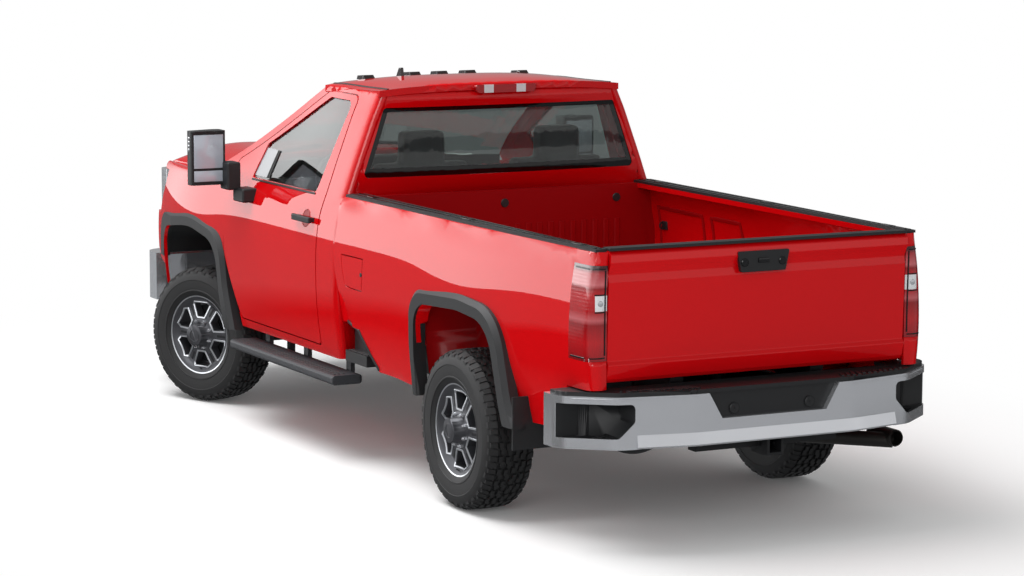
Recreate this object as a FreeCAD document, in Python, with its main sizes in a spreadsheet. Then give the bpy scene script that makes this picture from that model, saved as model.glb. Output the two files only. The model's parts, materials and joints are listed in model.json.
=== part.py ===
"""Regular-cab, long-bed heavy pickup truck, parked with its front wheels turned left.

Frame: X forward, Y to the driver's side, Z up, origin on the ground under the middle of the truck.
All lengths are millimetres and angles are degrees.
"""
import FreeCAD, Part
import Sketcher
import math
import os
from types import SimpleNamespace
from FreeCAD import Placement, Rotation, Vector

SIZES = (
    # Whole truck
    ("overall_length", 5982.0, "front bumper to hitch mouth"),
    ("rear_overhang", 1387.0, "rear axle to hitch mouth"),
    ("wheelbase", 3595.0, "rear axle to front axle"),
    ("track", 1792.0, "between wheel centre planes"),
    ("steer_rest", 23.4, "front wheels turned left as parked"),
    ("fit", 0.3, "clearance between pieces that seat on each other"),
    ("cut_over", 40.0, "overrun of a cutting tool"),
    # Tyres and rims
    ("tyre_diameter", 810.0, "outside of tread"),
    ("tyre_width", 275.0, "over the sidewalls"),
    ("tread_width", 225.0, "flat of the tread"),
    ("shoulder_drop", 20.0, "tread edge below the crown"),
    ("lip_radius", 239.0, "outer edge of the rim flange"),
    ("lip_reach", 118.0, "flange outer face from the wheel centre plane"),
    ("lip_thick", 12.0, "flange thickness"),
    ("bead_radius", 228.0, "bead seat"),
    ("well_radius", 205.0, "rim drop centre"),
    ("barrel_wall", 9.0, "rim barrel thickness"),
    ("disc_face", 96.0, "wheel disc front from the centre plane"),
    ("disc_back", 42.0, "wheel disc back from the centre plane"),
    ("hub_face", 30.0, "hub mounting face from the centre plane"),
    ("hub_radius", 88.0, "solid hub part of the disc"),
    ("cap_radius", 62.0, "centre cap"),
    ("cap_reach", 158.0, "centre cap front from the centre plane"),
    ("window_inner", 108.0, "wheel window inner radius"),
    ("window_outer", 190.0, "wheel window outer radius"),
    ("window_half_inner", 24.0, "half width of a window at its inner end"),
    ("window_half_outer", 62.0, "half width of a window at its outer end"),
    ("slot_inner", 132.0, "slot between the twin spokes, inner radius"),
    ("slot_outer", 196.0, "slot between the twin spokes, outer radius"),
    ("slot_half", 8.0, "half width of the slot"),
    ("lug_circle", 82.5, "radius of the lug circle"),
    ("lug_pocket", 13.0, "radius of a lug pocket"),
    ("lug_depth", 34.0, "depth of a lug pocket"),
    ("wheel_count_windows", 6.0, "windows around the wheel"),
    ("wheel_count_lugs", 8.0, "lugs around the wheel"),
    # Body side
    ("rocker_height", 544.0, "lower edge of the body side"),
    ("rocker_half", 975.0, "half width at the lower edge"),
    ("bulge_height", 984.0, "widest level"),
    ("bulge_half", 1017.0, "half width at the widest level"),
    ("belt_height", 1424.0, "belt line"),
    ("belt_half", 950.0, "half width at the belt"),
    ("eave_height", 1984.0, "roof side edge"),
    ("eave_half", 738.0, "half width at the roof side"),
    ("glass_crown", 4.0, "outward crown of the greenhouse"),
    ("skin", 26.0, "skin panel with its inner sheet"),
    ("wall", 70.0, "whole thickness of a double wall"),
    ("corner_round", 46.0, "rounding of the cab rear corner"),
    ("box_corner", 60.0, "rounding of the box rear corner"),
    # Cab
    ("cab_reach", 1500.0, "cab rear corner ahead of the rear axle"),
    ("rear_pillar", 240.0, "cab rear corner to door gap"),
    ("door_length", 1330.0, "door at the belt"),
    ("door_low_front", 1140.0, "door at its lower edge"),
    ("door_bottom", 596.0, "door lower edge"),
    ("door_top", 1952.0, "door frame upper edge at the rear"),
    ("door_gap_front", 8.0, "door to fender"),
    ("door_gap_rear", 11.0, "door to rear pillar"),
    ("door_gap", 7.0, "door to sill and roof rail"),
    ("door_inner", 62.0, "trimmed inner part of the door"),
    ("door_frame", 30.0, "thickness of the window frame"),
    ("pillar_top_reach", 482.0, "windscreen pillar top ahead of the door rear edge"),
    ("pillar_base_reach", 1588.0, "windscreen pillar foot ahead of the door rear edge"),
    ("pillar_width", 66.0, "windscreen pillar seen from the side"),
    ("window_sill", 1420.0, "lower edge of the side window"),
    ("window_top", 1922.0, "upper edge of the side window"),
    ("window_rear", 132.0, "side window rear edge at the sill, ahead of the door rear edge"),
    ("window_rear_top", 42.0, "side window rear edge at the top"),
    ("window_front_top", 370.0, "side window front edge at the top"),
    ("window_front_mid", 1040.0, "side window front edge above the sill"),
    ("window_front_step", 190.0, "height of the side window's upright front edge"),
    ("glass_thick", 5.0, "window glass"),
    ("glass_inset", 12.0, "glass behind the outer skin"),
    ("back_bow", 62.0, "rearward bow of the cab back"),
    ("back_lean", 42.0, "forward lean of the cab back to the roof"),
    ("back_window_low", 1526.0, "rear window lower edge"),
    ("back_window_high", 1901.0, "rear window upper edge"),
    ("back_window_low_half", 838.0, "half width of the rear window at its foot"),
    ("back_window_high_half", 708.0, "half width of the rear window at its top"),
    ("roof_height", 2038.0, "crown of the roof"),
    ("roof_front_drop", 42.0, "roof front edge below the crown"),
    ("roof_rear_drop", 18.0, "roof rear edge below the crown"),
    ("roof_front_reach", 130.0, "roof front edge ahead of the pillar tops at the middle"),
    ("roof_thick", 36.0, "roof with its lining"),
    ("screen_bow", 165.0, "forward bow of the windscreen foot"),
    ("screen_bow_top", 125.0, "forward bow of the windscreen head"),
    ("screen_foot", 1436.0, "windscreen lower edge"),
    ("screen_head", 1974.0, "windscreen upper edge"),
    ("floor_height", 624.0, "cab floor upper face"),
    ("floor_thick", 36.0, "cab floor"),
    ("cowl_reach", 130.0, "firewall ahead of the door front edge"),
    ("cowl_height", 1408.0, "cowl upper face"),
    ("sill_width", 100.0, "sill below the door"),
    # Seats and dashboard
    ("seat_gap", 20.0, "seat from the cab floor pedestal"),
    ("seat_height", 1036.0, "top of the seat cushion"),
    ("seat_thick", 160.0, "seat cushion thickness"),
    ("seat_depth", 520.0, "seat cushion length"),
    ("seat_width", 540.0, "seat cushion width"),
    ("seat_centre", 420.0, "seat middle from the centre plane"),
    ("seat_reach", 120.0, "seat back foot ahead of the door rear edge"),
    ("seat_back_top", 1584.0, "top of the seat back"),
    ("seat_back_thick", 130.0, "seat back thickness"),
    ("seat_back_lean", 150.0, "seat back top behind its foot"),
    ("head_rest_top", 1759.0, "top of the head rest"),
    ("head_rest_width", 250.0, "head rest width"),
    ("console_half", 120.0, "half width of the middle console"),
    ("dash_reach", 250.0, "dashboard rear face behind the door front edge"),
    ("dash_low", 1034.0, "dashboard lower edge"),
    ("dash_high", 1394.0, "dashboard upper face"),
    ("dash_half", 800.0, "half width of the dashboard"),
    ("steering_wheel_radius", 176.0, "middle of the steering wheel's rim"),
    ("steering_rim", 16.0, "radius of the steering wheel's grip"),
    ("steering_lean", 25.0, "steering column rise to the driver"),
    ("column_radius", 26.0, "steering column shroud"),
    ("column_length", 230.0, "steering column from the dashboard"),
    # Hood and fenders
    ("hood_half", 806.0, "half width of the hood"),
    ("hood_rear_height", 1478.0, "hood rear edge at the middle"),
    ("hood_front_height", 1468.0, "hood crest near its front"),
    ("hood_nose_height", 1434.0, "hood front edge"),
    ("hood_side_drop", 96.0, "hood side edge below its middle"),
    ("hood_front_reach", 920.0, "hood front edge ahead of the front axle"),
    ("hood_rear_reach", 76.0, "hood rear edge behind the front axle at the middle"),
    ("hood_rear_sweep", 125.0, "hood rear corners behind its middle"),
    ("hood_gap", 6.0, "hood to fender"),
    ("hood_room", 14.0, "space below the hood"),
    ("cowl_low", 1314.0, "firewall shelf in front of the windscreen"),
    ("cowl_thick", 12.0, "cowl panel"),
    ("fender_front_reach", 760.0, "fender front edge ahead of the front axle"),
    ("fender_nose_turn", 85.0, "fender inward turn at its front edge"),
    ("fender_shoulder", 1284.0, "fender shoulder level"),
    ("fender_shoulder_half", 972.0, "half width at the fender shoulder"),
    ("fender_top", 1376.0, "fender upper edge"),
    ("front_flare", 16.0, "outward swell round the front wheel arch"),
    ("rear_flare", 34.0, "outward swell round the rear wheel arch"),
    ("flare_fade", 260.0, "length over which the front swell grows from the door gap"),
    ("flare_spread", 210.0, "width over which the swell fades"),
    # Wheel arches
    ("arch_rise", 1016.0, "top of the arch opening"),
    ("arch_half", 447.0, "half length of the arch opening"),
    ("arch_radius", 200.0, "rounding of the arch corners"),
    ("front_arch_rise", 1057.0, "top of the front arch opening"),
    ("front_arch_half", 470.0, "half length of the front arch opening"),
    ("arch_trim_width", 78.0, "width of the arch moulding"),
    ("arch_trim_out", 1041.0, "outer face of the arch moulding"),
    ("arch_trim_thick", 70.0, "depth of the arch moulding"),
    ("flap_width", 260.0, "mud flap width"),
    ("flap_thick", 10.0, "mud flap thickness"),
    ("flap_height", 414.0, "mud flap lower edge"),
    ("liner_thick", 8.0, "wheelhouse liner"),
    # Box
    ("cab_box_gap", 14.0, "between cab and box"),
    ("box_rear_reach", 1234.0, "tailgate outer face behind the rear axle"),
    ("rail_height", 1432.0, "box side below its cap"),
    ("box_rear_bulge_half", 937.0, "half width of the box at its rear, at the widest level"),
    ("box_rear_belt_half", 898.0, "half width of the box at its rear, at the rail"),
    ("box_rear_low_half", 880.0, "half width of the box at its rear, at its lower edge"),
    ("tailgate_half", 827.0, "half width of the tailgate"),
    ("tailgate_gap", 6.0, "tailgate to lamp posts"),
    ("tailgate_top", 1436.0, "tailgate below its cap"),
    ("tailgate_bottom", 810.0, "tailgate lower edge"),
    ("tailgate_thick", 58.0, "tailgate thickness"),
    ("tailgate_lip", 20.0, "projection of the tailgate's upper lip"),
    ("tailgate_lean", 22.0, "tailgate foot ahead of its top"),
    ("box_floor_height", 909.0, "box floor upper face"),
    ("box_floor_thick", 26.0, "box floor"),
    ("box_front_thick", 46.0, "box front wall"),
    ("wheelhouse_inner_half", 648.0, "half width between the wheelhouses"),
    ("wheelhouse_rise", 1149.0, "top of the wheelhouse"),
    ("wheelhouse_half", 505.0, "half length of the wheelhouse"),
    ("wheelhouse_foot", 624.0, "lower edge of the wheelhouse"),
    ("cap_thick", 14.0, "rail cap"),
    ("cap_set", 6.0, "rail cap inside the box side"),
    ("lamp_low", 919.0, "tail lamp lower edge"),
    ("lamp_high", 1369.0, "tail lamp upper edge"),
    ("lamp_side_reach", 178.0, "tail lamp on the body side"),
    ("lamp_depth", 52.0, "tail lamp depth"),
    ("fuel_rear", 348.0, "fuel door rear edge behind the front of the box"),
    ("fuel_front", 104.0, "fuel door front edge behind the front of the box"),
    ("fuel_low", 968.0, "fuel door lower edge"),
    ("fuel_high", 1132.0, "fuel door upper edge"),
    ("fuel_gap", 6.0, "fuel door gap"),
    ("fuel_thick", 10.0, "fuel door thickness"),
    ("step_top", 756.0, "box side step opening upper edge"),
    ("step_top_length", 300.0, "box side step opening at its top"),
    ("step_low_length", 500.0, "box side step opening at the body's lower edge"),
    ("step_tread", 60.0, "box side step thickness"),
    # Bumpers and hitch
    ("bumper_top", 754.0, "rear bumper upper face"),
    ("bumper_low", 504.0, "rear bumper lower edge"),
    ("bumper_low_middle", 552.0, "rear bumper lower edge at the middle"),
    ("bumper_wall", 44.0, "rear bumper section depth"),
    ("bumper_half", 1042.0, "half width of the rear bumper"),
    ("bumper_corner_reach", 995.0, "rear bumper's forward end behind the rear axle"),
    ("bumper_shelf", 26.0, "rear bumper top wall"),
    ("bumper_side_length", 125.0, "straight side of the rear bumper's corner"),
    ("bumper_mid_half", 440.0, "half width of the rear bumper's straight middle"),
    ("bumper_knee_half", 815.0, "rear bumper's knee from the centre plane"),
    ("bumper_knee_reach", 76.0, "rear bumper's knee ahead of its middle face"),
    ("pad_thick", 20.0, "step pads on the rear bumper"),
    ("pad_inset", 12.0, "step pads inside the bumper's edge"),
    ("pad_wall", 6.0, "lining of the pockets and licence recess"),
    ("plate_recess_half_top", 385.0, "half width of the licence recess at its top"),
    ("plate_recess_half_low", 290.0, "half width of the licence recess at its foot"),
    ("plate_recess_low", 629.0, "licence recess lower edge"),
    ("pocket_high", 719.0, "corner step pocket upper edge"),
    ("pocket_low", 556.0, "corner step pocket lower edge"),
    ("pocket_inner_half", 728.0, "corner step pocket inner end"),
    ("hitch_height", 474.0, "hitch tube axis"),
    ("hitch_outer", 90.0, "hitch tube collar side"),
    ("hitch_bore", 63.5, "hitch tube opening side"),
    ("hitch_pin_radius", 8.25, "hitch pin hole"),
    ("hitch_pin_reach", 65.0, "hitch pin from the tube's mouth"),
    ("hitch_length", 150.0, "hitch tube length"),
    ("hitch_beam", 70.0, "hitch cross beam length"),
    ("hitch_beam_low", 464.0, "hitch cross beam lower face"),
    ("hitch_plate_low", 504.0, "hitch side plate lower edge"),
    ("recess_depth", 62.0, "licence recess depth with its panel"),
    ("pocket_depth", 110.0, "corner step pocket depth"),
    ("pocket_end_reach", 105.0, "corner step pocket from the bumper's forward end"),
    ("pocket_slant", 78.0, "slant of the pocket's lower inner corner"),
    ("shelf_reach", 90.0, "bumper shelf ahead of the tailgate face"),
    ("side_notch_reach", 209.0, "box side notch ahead of the tailgate face"),
    ("side_notch_top", 782.0, "box side lower edge above the bumper"),
    ("frame_end", 110.0, "frame rail end ahead of the tailgate face"),
    ("front_bumper_low", 524.0, "front bumper lower edge"),
    ("front_bumper_high", 814.0, "front bumper upper edge"),
    ("front_bumper_half", 985.0, "half width of the front bumper"),
    ("front_bumper_wall", 60.0, "front bumper section depth"),
    ("front_bumper_wrap", 330.0, "front bumper end behind its face"),
    # Front face
    ("grille_high", 1356.0, "grille upper edge"),
    ("grille_half", 640.0, "half width of the grille"),
    ("grille_reach", 905.0, "grille face ahead of the front axle"),
    ("grille_depth", 130.0, "grille with its shroud"),
    ("grille_border", 46.0, "grille frame"),
    ("grille_bar", 34.0, "grille cross bar"),
    ("grille_bars", 4.0, "cross bars"),
    ("radiator_depth", 60.0, "radiator core"),
    ("head_low", 1074.0, "headlamp lower edge"),
    ("head_high", 1336.0, "headlamp upper edge"),
    ("head_half", 925.0, "headlamp outer edge"),
    # Chassis
    ("frame_half", 432.0, "outer face of a frame rail"),
    ("frame_width", 75.0, "frame rail width"),
    ("frame_depth", 150.0, "frame rail height"),
    ("frame_rear_low", 722.0, "frame rail lower edge at the rear"),
    ("frame_mid_low", 420.0, "frame rail lower edge below the cab"),
    ("frame_front_low", 504.0, "frame rail lower edge at the front"),
    ("frame_kick", 640.0, "frame rail slope ahead of the rear axle"),
    ("cross_member", 90.0, "frame cross member length"),
    ("cross_height", 70.0, "frame cross member height"),
    ("engine_half", 290.0, "half width of the engine"),
    ("engine_low", 584.0, "engine lower face"),
    ("engine_high", 1214.0, "engine upper face"),
    ("engine_length", 660.0, "engine length"),
    ("engine_front", 300.0, "engine front ahead of the front axle"),
    ("gearbox_half", 170.0, "half width of the gearbox"),
    ("gearbox_low", 404.0, "gearbox lower face"),
    ("gearbox_high", 574.0, "gearbox upper face"),
    ("gearbox_length", 900.0, "gearbox length"),
    ("axle_radius", 52.0, "rear axle tube"),
    ("diff_radius", 205.0, "rear differential"),
    ("diff_width", 190.0, "rear differential width"),
    ("drum_radius", 175.0, "brake disc"),
    ("drum_width", 28.0, "brake disc thickness"),
    ("spring_half", 560.0, "leaf spring middle from the centre plane"),
    ("spring_width", 76.0, "leaf spring width"),
    ("spring_span", 760.0, "leaf spring half length"),
    ("spring_sag", 165.0, "leaf spring rise to its eyes"),
    ("spring_thick", 46.0, "leaf spring pack"),
    ("shaft_radius", 45.0, "driveshaft"),
    ("kingpin_half", 840.0, "steering axis from the centre plane"),
    ("knuckle_radius", 46.0, "knuckle upright"),
    ("knuckle_half", 126.0, "half height of the knuckle"),
    ("joint_radius", 26.0, "ball joint stud"),
    ("arm_thick", 36.0, "suspension arm thickness"),
    ("arm_outer_half", 38.0, "half width of an arm at its ball joint"),
    ("arm_inner_half", 210.0, "half width of an arm at the frame"),
    ("steer_arm_back", 128.0, "steering arm behind the steering axis"),
    ("steer_arm_in", 10.0, "steering arm inward of the steering axis"),
    ("steer_arm_low", 70.0, "steering arm below the axle"),
    ("steer_arm_thick", 24.0, "steering arm"),
    ("tie_radius", 15.0, "tie rod"),
    ("tie_gap", 6.0, "tie rod above the steering arm"),
    ("tie_eye", 38.0, "tie rod eye height"),
    ("tie_eye_radius", 22.0, "tie rod eye"),
    ("rack_half", 300.0, "half length of the steering centre link"),
    ("rack_radius", 20.0, "steering centre link"),
    ("front_diff_radius", 85.0, "front differential"),
    ("half_shaft_radius", 24.0, "front half shaft"),
    ("half_shaft_reach", 640.0, "front half shaft end from the centre plane"),
    ("pipe_radius", 38.0, "exhaust pipe"),
    ("pipe_wall", 3.0, "exhaust pipe wall"),
    ("muffler_radius", 110.0, "muffler"),
    ("tip_height", 368.0, "exhaust tip axis"),
    ("tip_reach", 1036.0, "exhaust tip behind the rear axle"),
    ("tip_half", 905.0, "exhaust tip from the centre plane"),
    ("hanger", 20.0, "exhaust hanger"),
    ("tank_length", 900.0, "fuel tank length"),
    ("tank_low", 454.0, "fuel tank lower face"),
    ("tank_high", 774.0, "fuel tank upper face"),
    ("tank_inner", 110.0, "fuel tank inner face from the centre plane"),
    ("spare_radius", 398.0, "spare tyre"),
    ("spare_width", 240.0, "spare tyre width"),
    ("spare_low", 468.0, "spare tyre lower face"),
    ("spare_reach", 816.0, "spare wheel axis behind the rear axle"),
    ("spare_bore", 205.0, "spare tyre's inner radius"),
    ("board_low", 426.0, "running board lower face"),
    ("board_thick", 52.0, "running board thickness"),
    ("board_inner", 905.0, "running board inner edge"),
    ("board_outer", 1080.0, "running board outer edge"),
    ("board_rear", 111.0, "running board rear end behind the front of the box"),
    ("board_front", 240.0, "running board front end behind the door front edge"),
    ("board_bracket", 60.0, "running board bracket"),
    # Mirrors and handles
    ("mirror_reach", 195.0, "mirror behind the door front edge"),
    ("mirror_low", 1382.0, "mirror head lower edge"),
    ("mirror_high", 1692.0, "mirror head upper edge"),
    ("mirror_inner", 1098.0, "mirror head inner edge"),
    ("mirror_outer", 1311.0, "mirror head outer edge"),
    ("mirror_depth", 120.0, "mirror head depth"),
    ("mirror_glass", 7.0, "mirror glass"),
    ("mirror_arm", 46.0, "mirror arm"),
    ("mirror_foot_low", 1286.0, "mirror foot lower edge"),
    ("mirror_foot_high", 1366.0, "mirror foot upper edge"),
    ("mirror_foot_length", 150.0, "mirror foot length"),
    ("mirror_foot_half", 1062.0, "mirror foot outer face"),
    ("mirror_post_high", 1514.0, "mirror post upper edge"),
    ("handle_length", 240.0, "door handle"),
    ("handle_height", 34.0, "door handle height"),
    ("handle_depth", 20.0, "door handle thickness"),
    ("handle_stand", 22.0, "door handle off the skin"),
    ("handle_level", 1276.0, "door handle level"),
    ("handle_reach", 40.0, "door handle rear end ahead of the door rear edge"),
    # Roof lamps
    ("roof_lamp_length", 130.0, "roof marker lamp length"),
    ("roof_lamp_width", 62.0, "roof marker lamp width"),
    ("roof_lamp_height", 22.0, "roof marker lamp height"),
    ("roof_lamp_pitch", 176.0, "between the three middle marker lamps"),
    ("roof_lamp_outer", 487.0, "outer marker lamps from the centre plane"),
    ("roof_lamp_set", 12.0, "marker lamps behind the roof's front edge"),
    ("fin_side", 330.0, "antenna fin from the centre plane"),
    ("fin_length", 90.0, "antenna fin length"),
    ("brake_lamp_half", 196.0, "high brake lamp half width"),
    ("brake_lamp_low", 1970.0, "high brake lamp lower edge"),
    ("brake_lamp_high", 2014.0, "high brake lamp upper edge"),
    ("fin_height", 52.0, "antenna fin height"),
)

doc = FreeCAD.newDocument("Pickup")
sheet = doc.addObject("Spreadsheet::Sheet", "Sizes")
for row, (alias, amount, meaning) in enumerate(SIZES, start=1):
    sheet.set(f"A{row}", meaning)
    sheet.set(f"B{row}", str(amount))
    sheet.setAlias(f"B{row}", alias)
doc.recompute()
S = SimpleNamespace(**{alias: float(sheet.get(alias)) for alias, amount, meaning in SIZES})

X_AXIS = Vector(1, 0, 0)
Y_AXIS = Vector(0, 1, 0)
Z_AXIS = Vector(0, 0, 1)
ORIGIN = Vector(0, 0, 0)

rear_x = S.rear_overhang - S.overall_length / 2
front_x = rear_x + S.wheelbase
axle_z = S.tyre_diameter / 2
cab_x = rear_x + S.cab_reach
door_rear_x = cab_x + S.rear_pillar
door_front_x = door_rear_x + S.door_length
box_front_x = cab_x - S.cab_box_gap
box_rear_x = rear_x - S.box_rear_reach
nodes = []


def keep(label, shape):
    """One node whose shape Part's own functions have made."""
    piece = doc.addObject("Part::Feature", label)
    piece.Label = label
    piece.Shape = shape
    nodes.append(piece)
    return piece


def keep_object(label, piece):
    """One node that is already a parametric object of the document."""
    piece.Label = label
    nodes.append(piece)
    return piece


def both_sides(shape):
    """The shape and its mirror image across the centre plane, as one compound."""
    return Part.makeCompound([shape, shape.mirror(ORIGIN, Y_AXIS)])


def fuse(shapes):
    """All shapes joined."""
    joined = shapes[0]
    if len(shapes) > 1:
        joined = shapes[0].multiFuse(shapes[1:])
    return joined.removeSplitter()


def cell(text):
    """Number that a sheet expression gives."""
    return float(sheet.evalExpression(text))


def block(low, high):
    """Box between two corners."""
    size = high - low
    return Part.makeBox(size.x, size.y, size.z, low)


def rounded_face(points, radius, place):
    """Face of a closed outline with rounded corners; place puts a pair (a, b) in space."""
    count = len(points)
    corners = [Vector(a, b, 0) for a, b in points]
    radii = radius if isinstance(radius, (list, tuple)) else [radius] * count
    edges = []
    ends = []
    for index, corner in enumerate(corners):
        before = corners[index - 1] - corner
        after = corners[(index + 1) % count] - corner
        half_turn = before.getAngle(after) / 2
        side_share = 0.48
        reach = min(radii[index] / math.tan(half_turn), side_share * min(before.Length, after.Length))
        if reach < S.fit:
            ends.append((corner, corner))
            continue
        before.normalize()
        after.normalize()
        start = corner + before * reach
        end = corner + after * reach
        bend = reach * math.tan(half_turn)
        inward = (before + after).normalize()
        middle = corner + inward * (bend / math.sin(half_turn) - bend)
        ends.append((start, end))
        points_3d = [place(point.x, point.y) for point in (start, middle, end)]
        edges.append((index, Part.Arc(*points_3d).toShape()))
    arcs = dict(edges)
    loop = []
    for index in range(count):
        if index in arcs:
            loop.append(arcs[index])
        start = ends[index][1]
        end = ends[(index + 1) % count][0]
        if start.distanceToPoint(end) > S.fit / 10:
            loop.append(Part.LineSegment(place(start.x, start.y), place(end.x, end.y)).toShape())
    return Part.Face(Part.Wire(Part.sortEdges(loop)[0]))


def side_prism(points, near, far, radius=0):
    """Side-view outline (x, z) carried across from y near to y far."""
    face = rounded_face(points, radius, lambda a, b: Vector(a, near, b))
    return face.extrude(Vector(0, far - near, 0))


def plan_prism(points, low, high, radius=0):
    """Plan outline (x, y) carried up from z low to z high."""
    face = rounded_face(points, radius, lambda a, b: Vector(a, b, low))
    return face.extrude(Vector(0, 0, high - low))


def end_prism(points, rear, front, radius=0):
    """End-view outline (y, z) carried forward from x rear to x front."""
    face = rounded_face(points, radius, lambda a, b: Vector(rear, a, b))
    return face.extrude(Vector(front - rear, 0, 0))


def slab(rows, depth):
    """Thick panel: the smooth patch through the rows of points, carried inward by depth."""
    surface = Part.BSplineSurface()
    surface.interpolate(rows)
    return surface.toShape().extrude(depth)


def span(start, end, shares):
    """Values between start and end at the given shares."""
    return [start + (end - start) * share for share in shares]


# Body side section

def lower_half(height):
    """Half width of the body below the belt at a height."""
    if height < S.bulge_height:
        down = (S.bulge_height - height) / (S.bulge_height - S.rocker_height)
        return S.bulge_half - (S.bulge_half - S.rocker_half) * down ** 2
    up = (height - S.bulge_height) / (S.belt_height - S.bulge_height)
    return S.bulge_half - (S.bulge_half - S.belt_half) * up ** 3


def upper_half(height):
    """Half width of the greenhouse at a height above the belt."""
    up = (height - S.belt_height) / (S.eave_height - S.belt_height)
    crown_share = 4 * up * (1 - up)
    return S.belt_half - (S.belt_half - S.eave_half) * up + S.glass_crown * crown_share


def cab_half(x, height):
    """Half width of the cab at a place along it and a height."""
    if height <= S.belt_height:
        return lower_half(height)
    up = (height - S.belt_height) / (S.eave_height - S.belt_height)
    ahead = max(0.0, (x - door_rear_x) / S.door_length)
    taper_share = 0.85
    return upper_half(height) - S.eave_half * up * (taper_share * ahead ** 2) / 4


# Points of an arch's outline, as shares of its half length and of its rise above the axle
FRONT_ARCH_SHARES = ((-1.045, 0.477), (-0.91, 0.914), (-0.03, 1.01), (0.98, 0.93), (1.0, 0.586))
FRONT_FOOT_SHARES = (-1.25, 0.98)
REAR_ARCH_SHARES = ((-1.15, 0.34), (-0.87, 0.962), (-0.1, 1.008), (1.0, 0.962), (0.99, 0.55))
REAR_FOOT_SHARES = (-1.29, 0.89)
ARCH_RADII_SHARES = (0, 2, 1.15, 4, 1.15, 3, 0)


def arch_points(centre, half, rise, grow, foot):
    """Side view of a wheel arch opening, grown outward by grow, from its foot level."""
    at_front = centre > 0
    shares = FRONT_ARCH_SHARES if at_front else REAR_ARCH_SHARES
    rear_foot, front_foot = FRONT_FOOT_SHARES if at_front else REAR_FOOT_SHARES
    reach = half + grow
    tall = rise + grow - axle_z
    points = [(centre + reach * along, axle_z + tall * up) for along, up in shares]
    return [(centre + reach * rear_foot, foot)] + points + [(centre + reach * front_foot, foot)]


def arch_prism(centre, half, rise, grow, foot, near, far):
    """Arch opening carried across from y near to y far."""
    radii = [(S.arch_radius + grow) * share for share in ARCH_RADII_SHARES]
    return side_prism(arch_points(centre, half, rise, grow, foot), near, far, radii)


def flare(x, height, centre, half, rise, reach):
    """Outward swell of the skin round a wheel arch."""
    across = abs(x - centre) / (half + S.arch_trim_width)
    level = max(0.0, height - axle_z) / (rise + S.arch_trim_width - axle_z)
    ring = (across ** 3 + level ** 3) ** (1 / 3)
    outside = max(0.0, ring - 1) * half / S.flare_spread
    return reach * math.exp(-2 * outside ** 2)


LOWER_SHARES = (0, 0.12, 0.26, 0.4, 0.54, 0.68, 0.8, 0.9, 1)
UPPER_SHARES = (0, 0.2, 0.4, 0.6, 0.8, 1)


# Doors and cab sides

def cab_skin(depth, inset):
    """Left side of the cab from sill to eave, wrapped round the rear corner."""
    low_rows = span(S.rocker_height - S.cut_over, S.belt_height, LOWER_SHARES)
    high_rows = span(S.belt_height, S.eave_height, UPPER_SHARES)[1:]
    lengths = span(cab_x + S.corner_round, door_rear_x + S.pillar_base_reach + S.cut_over,
                   (1, 0.85, 0.7, 0.55, 0.4, 0.26, 0.14, 0.05, 0))
    wrap_shares = ((0.55, 0.1), (0.9, 0.5), (1, 1.05))
    rows = []
    for height in low_rows + high_rows:
        row = [Vector(x, cab_half(x, height) - inset, height) for x in lengths]
        for back_share, in_share in wrap_shares:
            half = cab_half(cab_x, height) - inset
            row.append(Vector(cab_x + S.corner_round * (1 - back_share), half - S.corner_round * in_share, height))
        rows.append(row)
    return slab(rows, Vector(depth * corner_shear_share, -depth, 0))


corner_shear_share = 0.5
pillar_slope = (S.screen_head - S.screen_foot) / (S.pillar_base_reach - S.pillar_top_reach)


def door_outline(grow_front, grow_rear, grow):
    """Side view of the door, grown by the gaps given."""
    rear = door_rear_x - grow_rear
    front = door_front_x + grow_front
    pillar_line = S.pillar_width + S.door_gap - grow
    top = S.door_top + grow
    head_x = door_rear_x + S.pillar_top_reach - pillar_line - (top - S.door_top)
    foot_level = S.belt_height + S.cut_over / 2
    foot_x = door_rear_x + S.pillar_top_reach + (S.eave_height - foot_level) / pillar_slope - 2 * pillar_line
    if foot_x > front:
        foot_level = top + (foot_level - top) * (front - head_x) / (foot_x - head_x)
    waist = S.bulge_height - S.skin
    hip_reach = S.door_length - S.door_low_front
    return [
        (rear, S.door_bottom - grow),
        (rear, top),
        (head_x, top),
        (min(foot_x, front), foot_level),
        (front, S.belt_height - S.skin),
        (front, waist),
        (front - hip_reach, S.door_bottom - grow),
    ]


def window_outline(grow):
    """Side view of the door window opening, grown by grow."""
    base = door_rear_x
    return [
        (base + S.window_rear - grow, S.window_sill - grow),
        (base + S.window_rear_top - grow, S.window_top + grow),
        (base + S.window_front_top, S.window_top + grow),
        (base + S.window_front_mid + grow, S.window_sill + S.window_front_step),
        (base + S.window_front_mid + grow, S.window_sill - grow),
    ]


DOOR_RADII_SHARES = (0.5, 1.0, 1.0, 0.5, 0.3, 1.5, 1.2)
WINDOW_RADII_SHARES = (0.6, 1.2, 1.0, 0.5, 0.3)


def door_radii(shares):
    """Corner radii of a door or window outline."""
    return [S.corner_round * share for share in shares]


skin_thin = cab_skin(S.skin, 0)
skin_frame = cab_skin(S.door_frame, 0)


def trapezoid(low, high, low_half, high_half):
    """End-view outline (y, z) between two levels."""
    return [(-low_half, low), (-high_half, high), (high_half, high), (low_half, low)]


def back_window(grow):
    """Cutter for the rear window, grown by grow."""
    points = trapezoid(S.back_window_low - grow, S.back_window_high + grow,
                       S.back_window_low_half + grow, S.back_window_high_half + grow)
    return end_prism(points, cab_x - S.wall - S.cut_over, cab_x + S.wall + S.cut_over, S.corner_round / 2)


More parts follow.
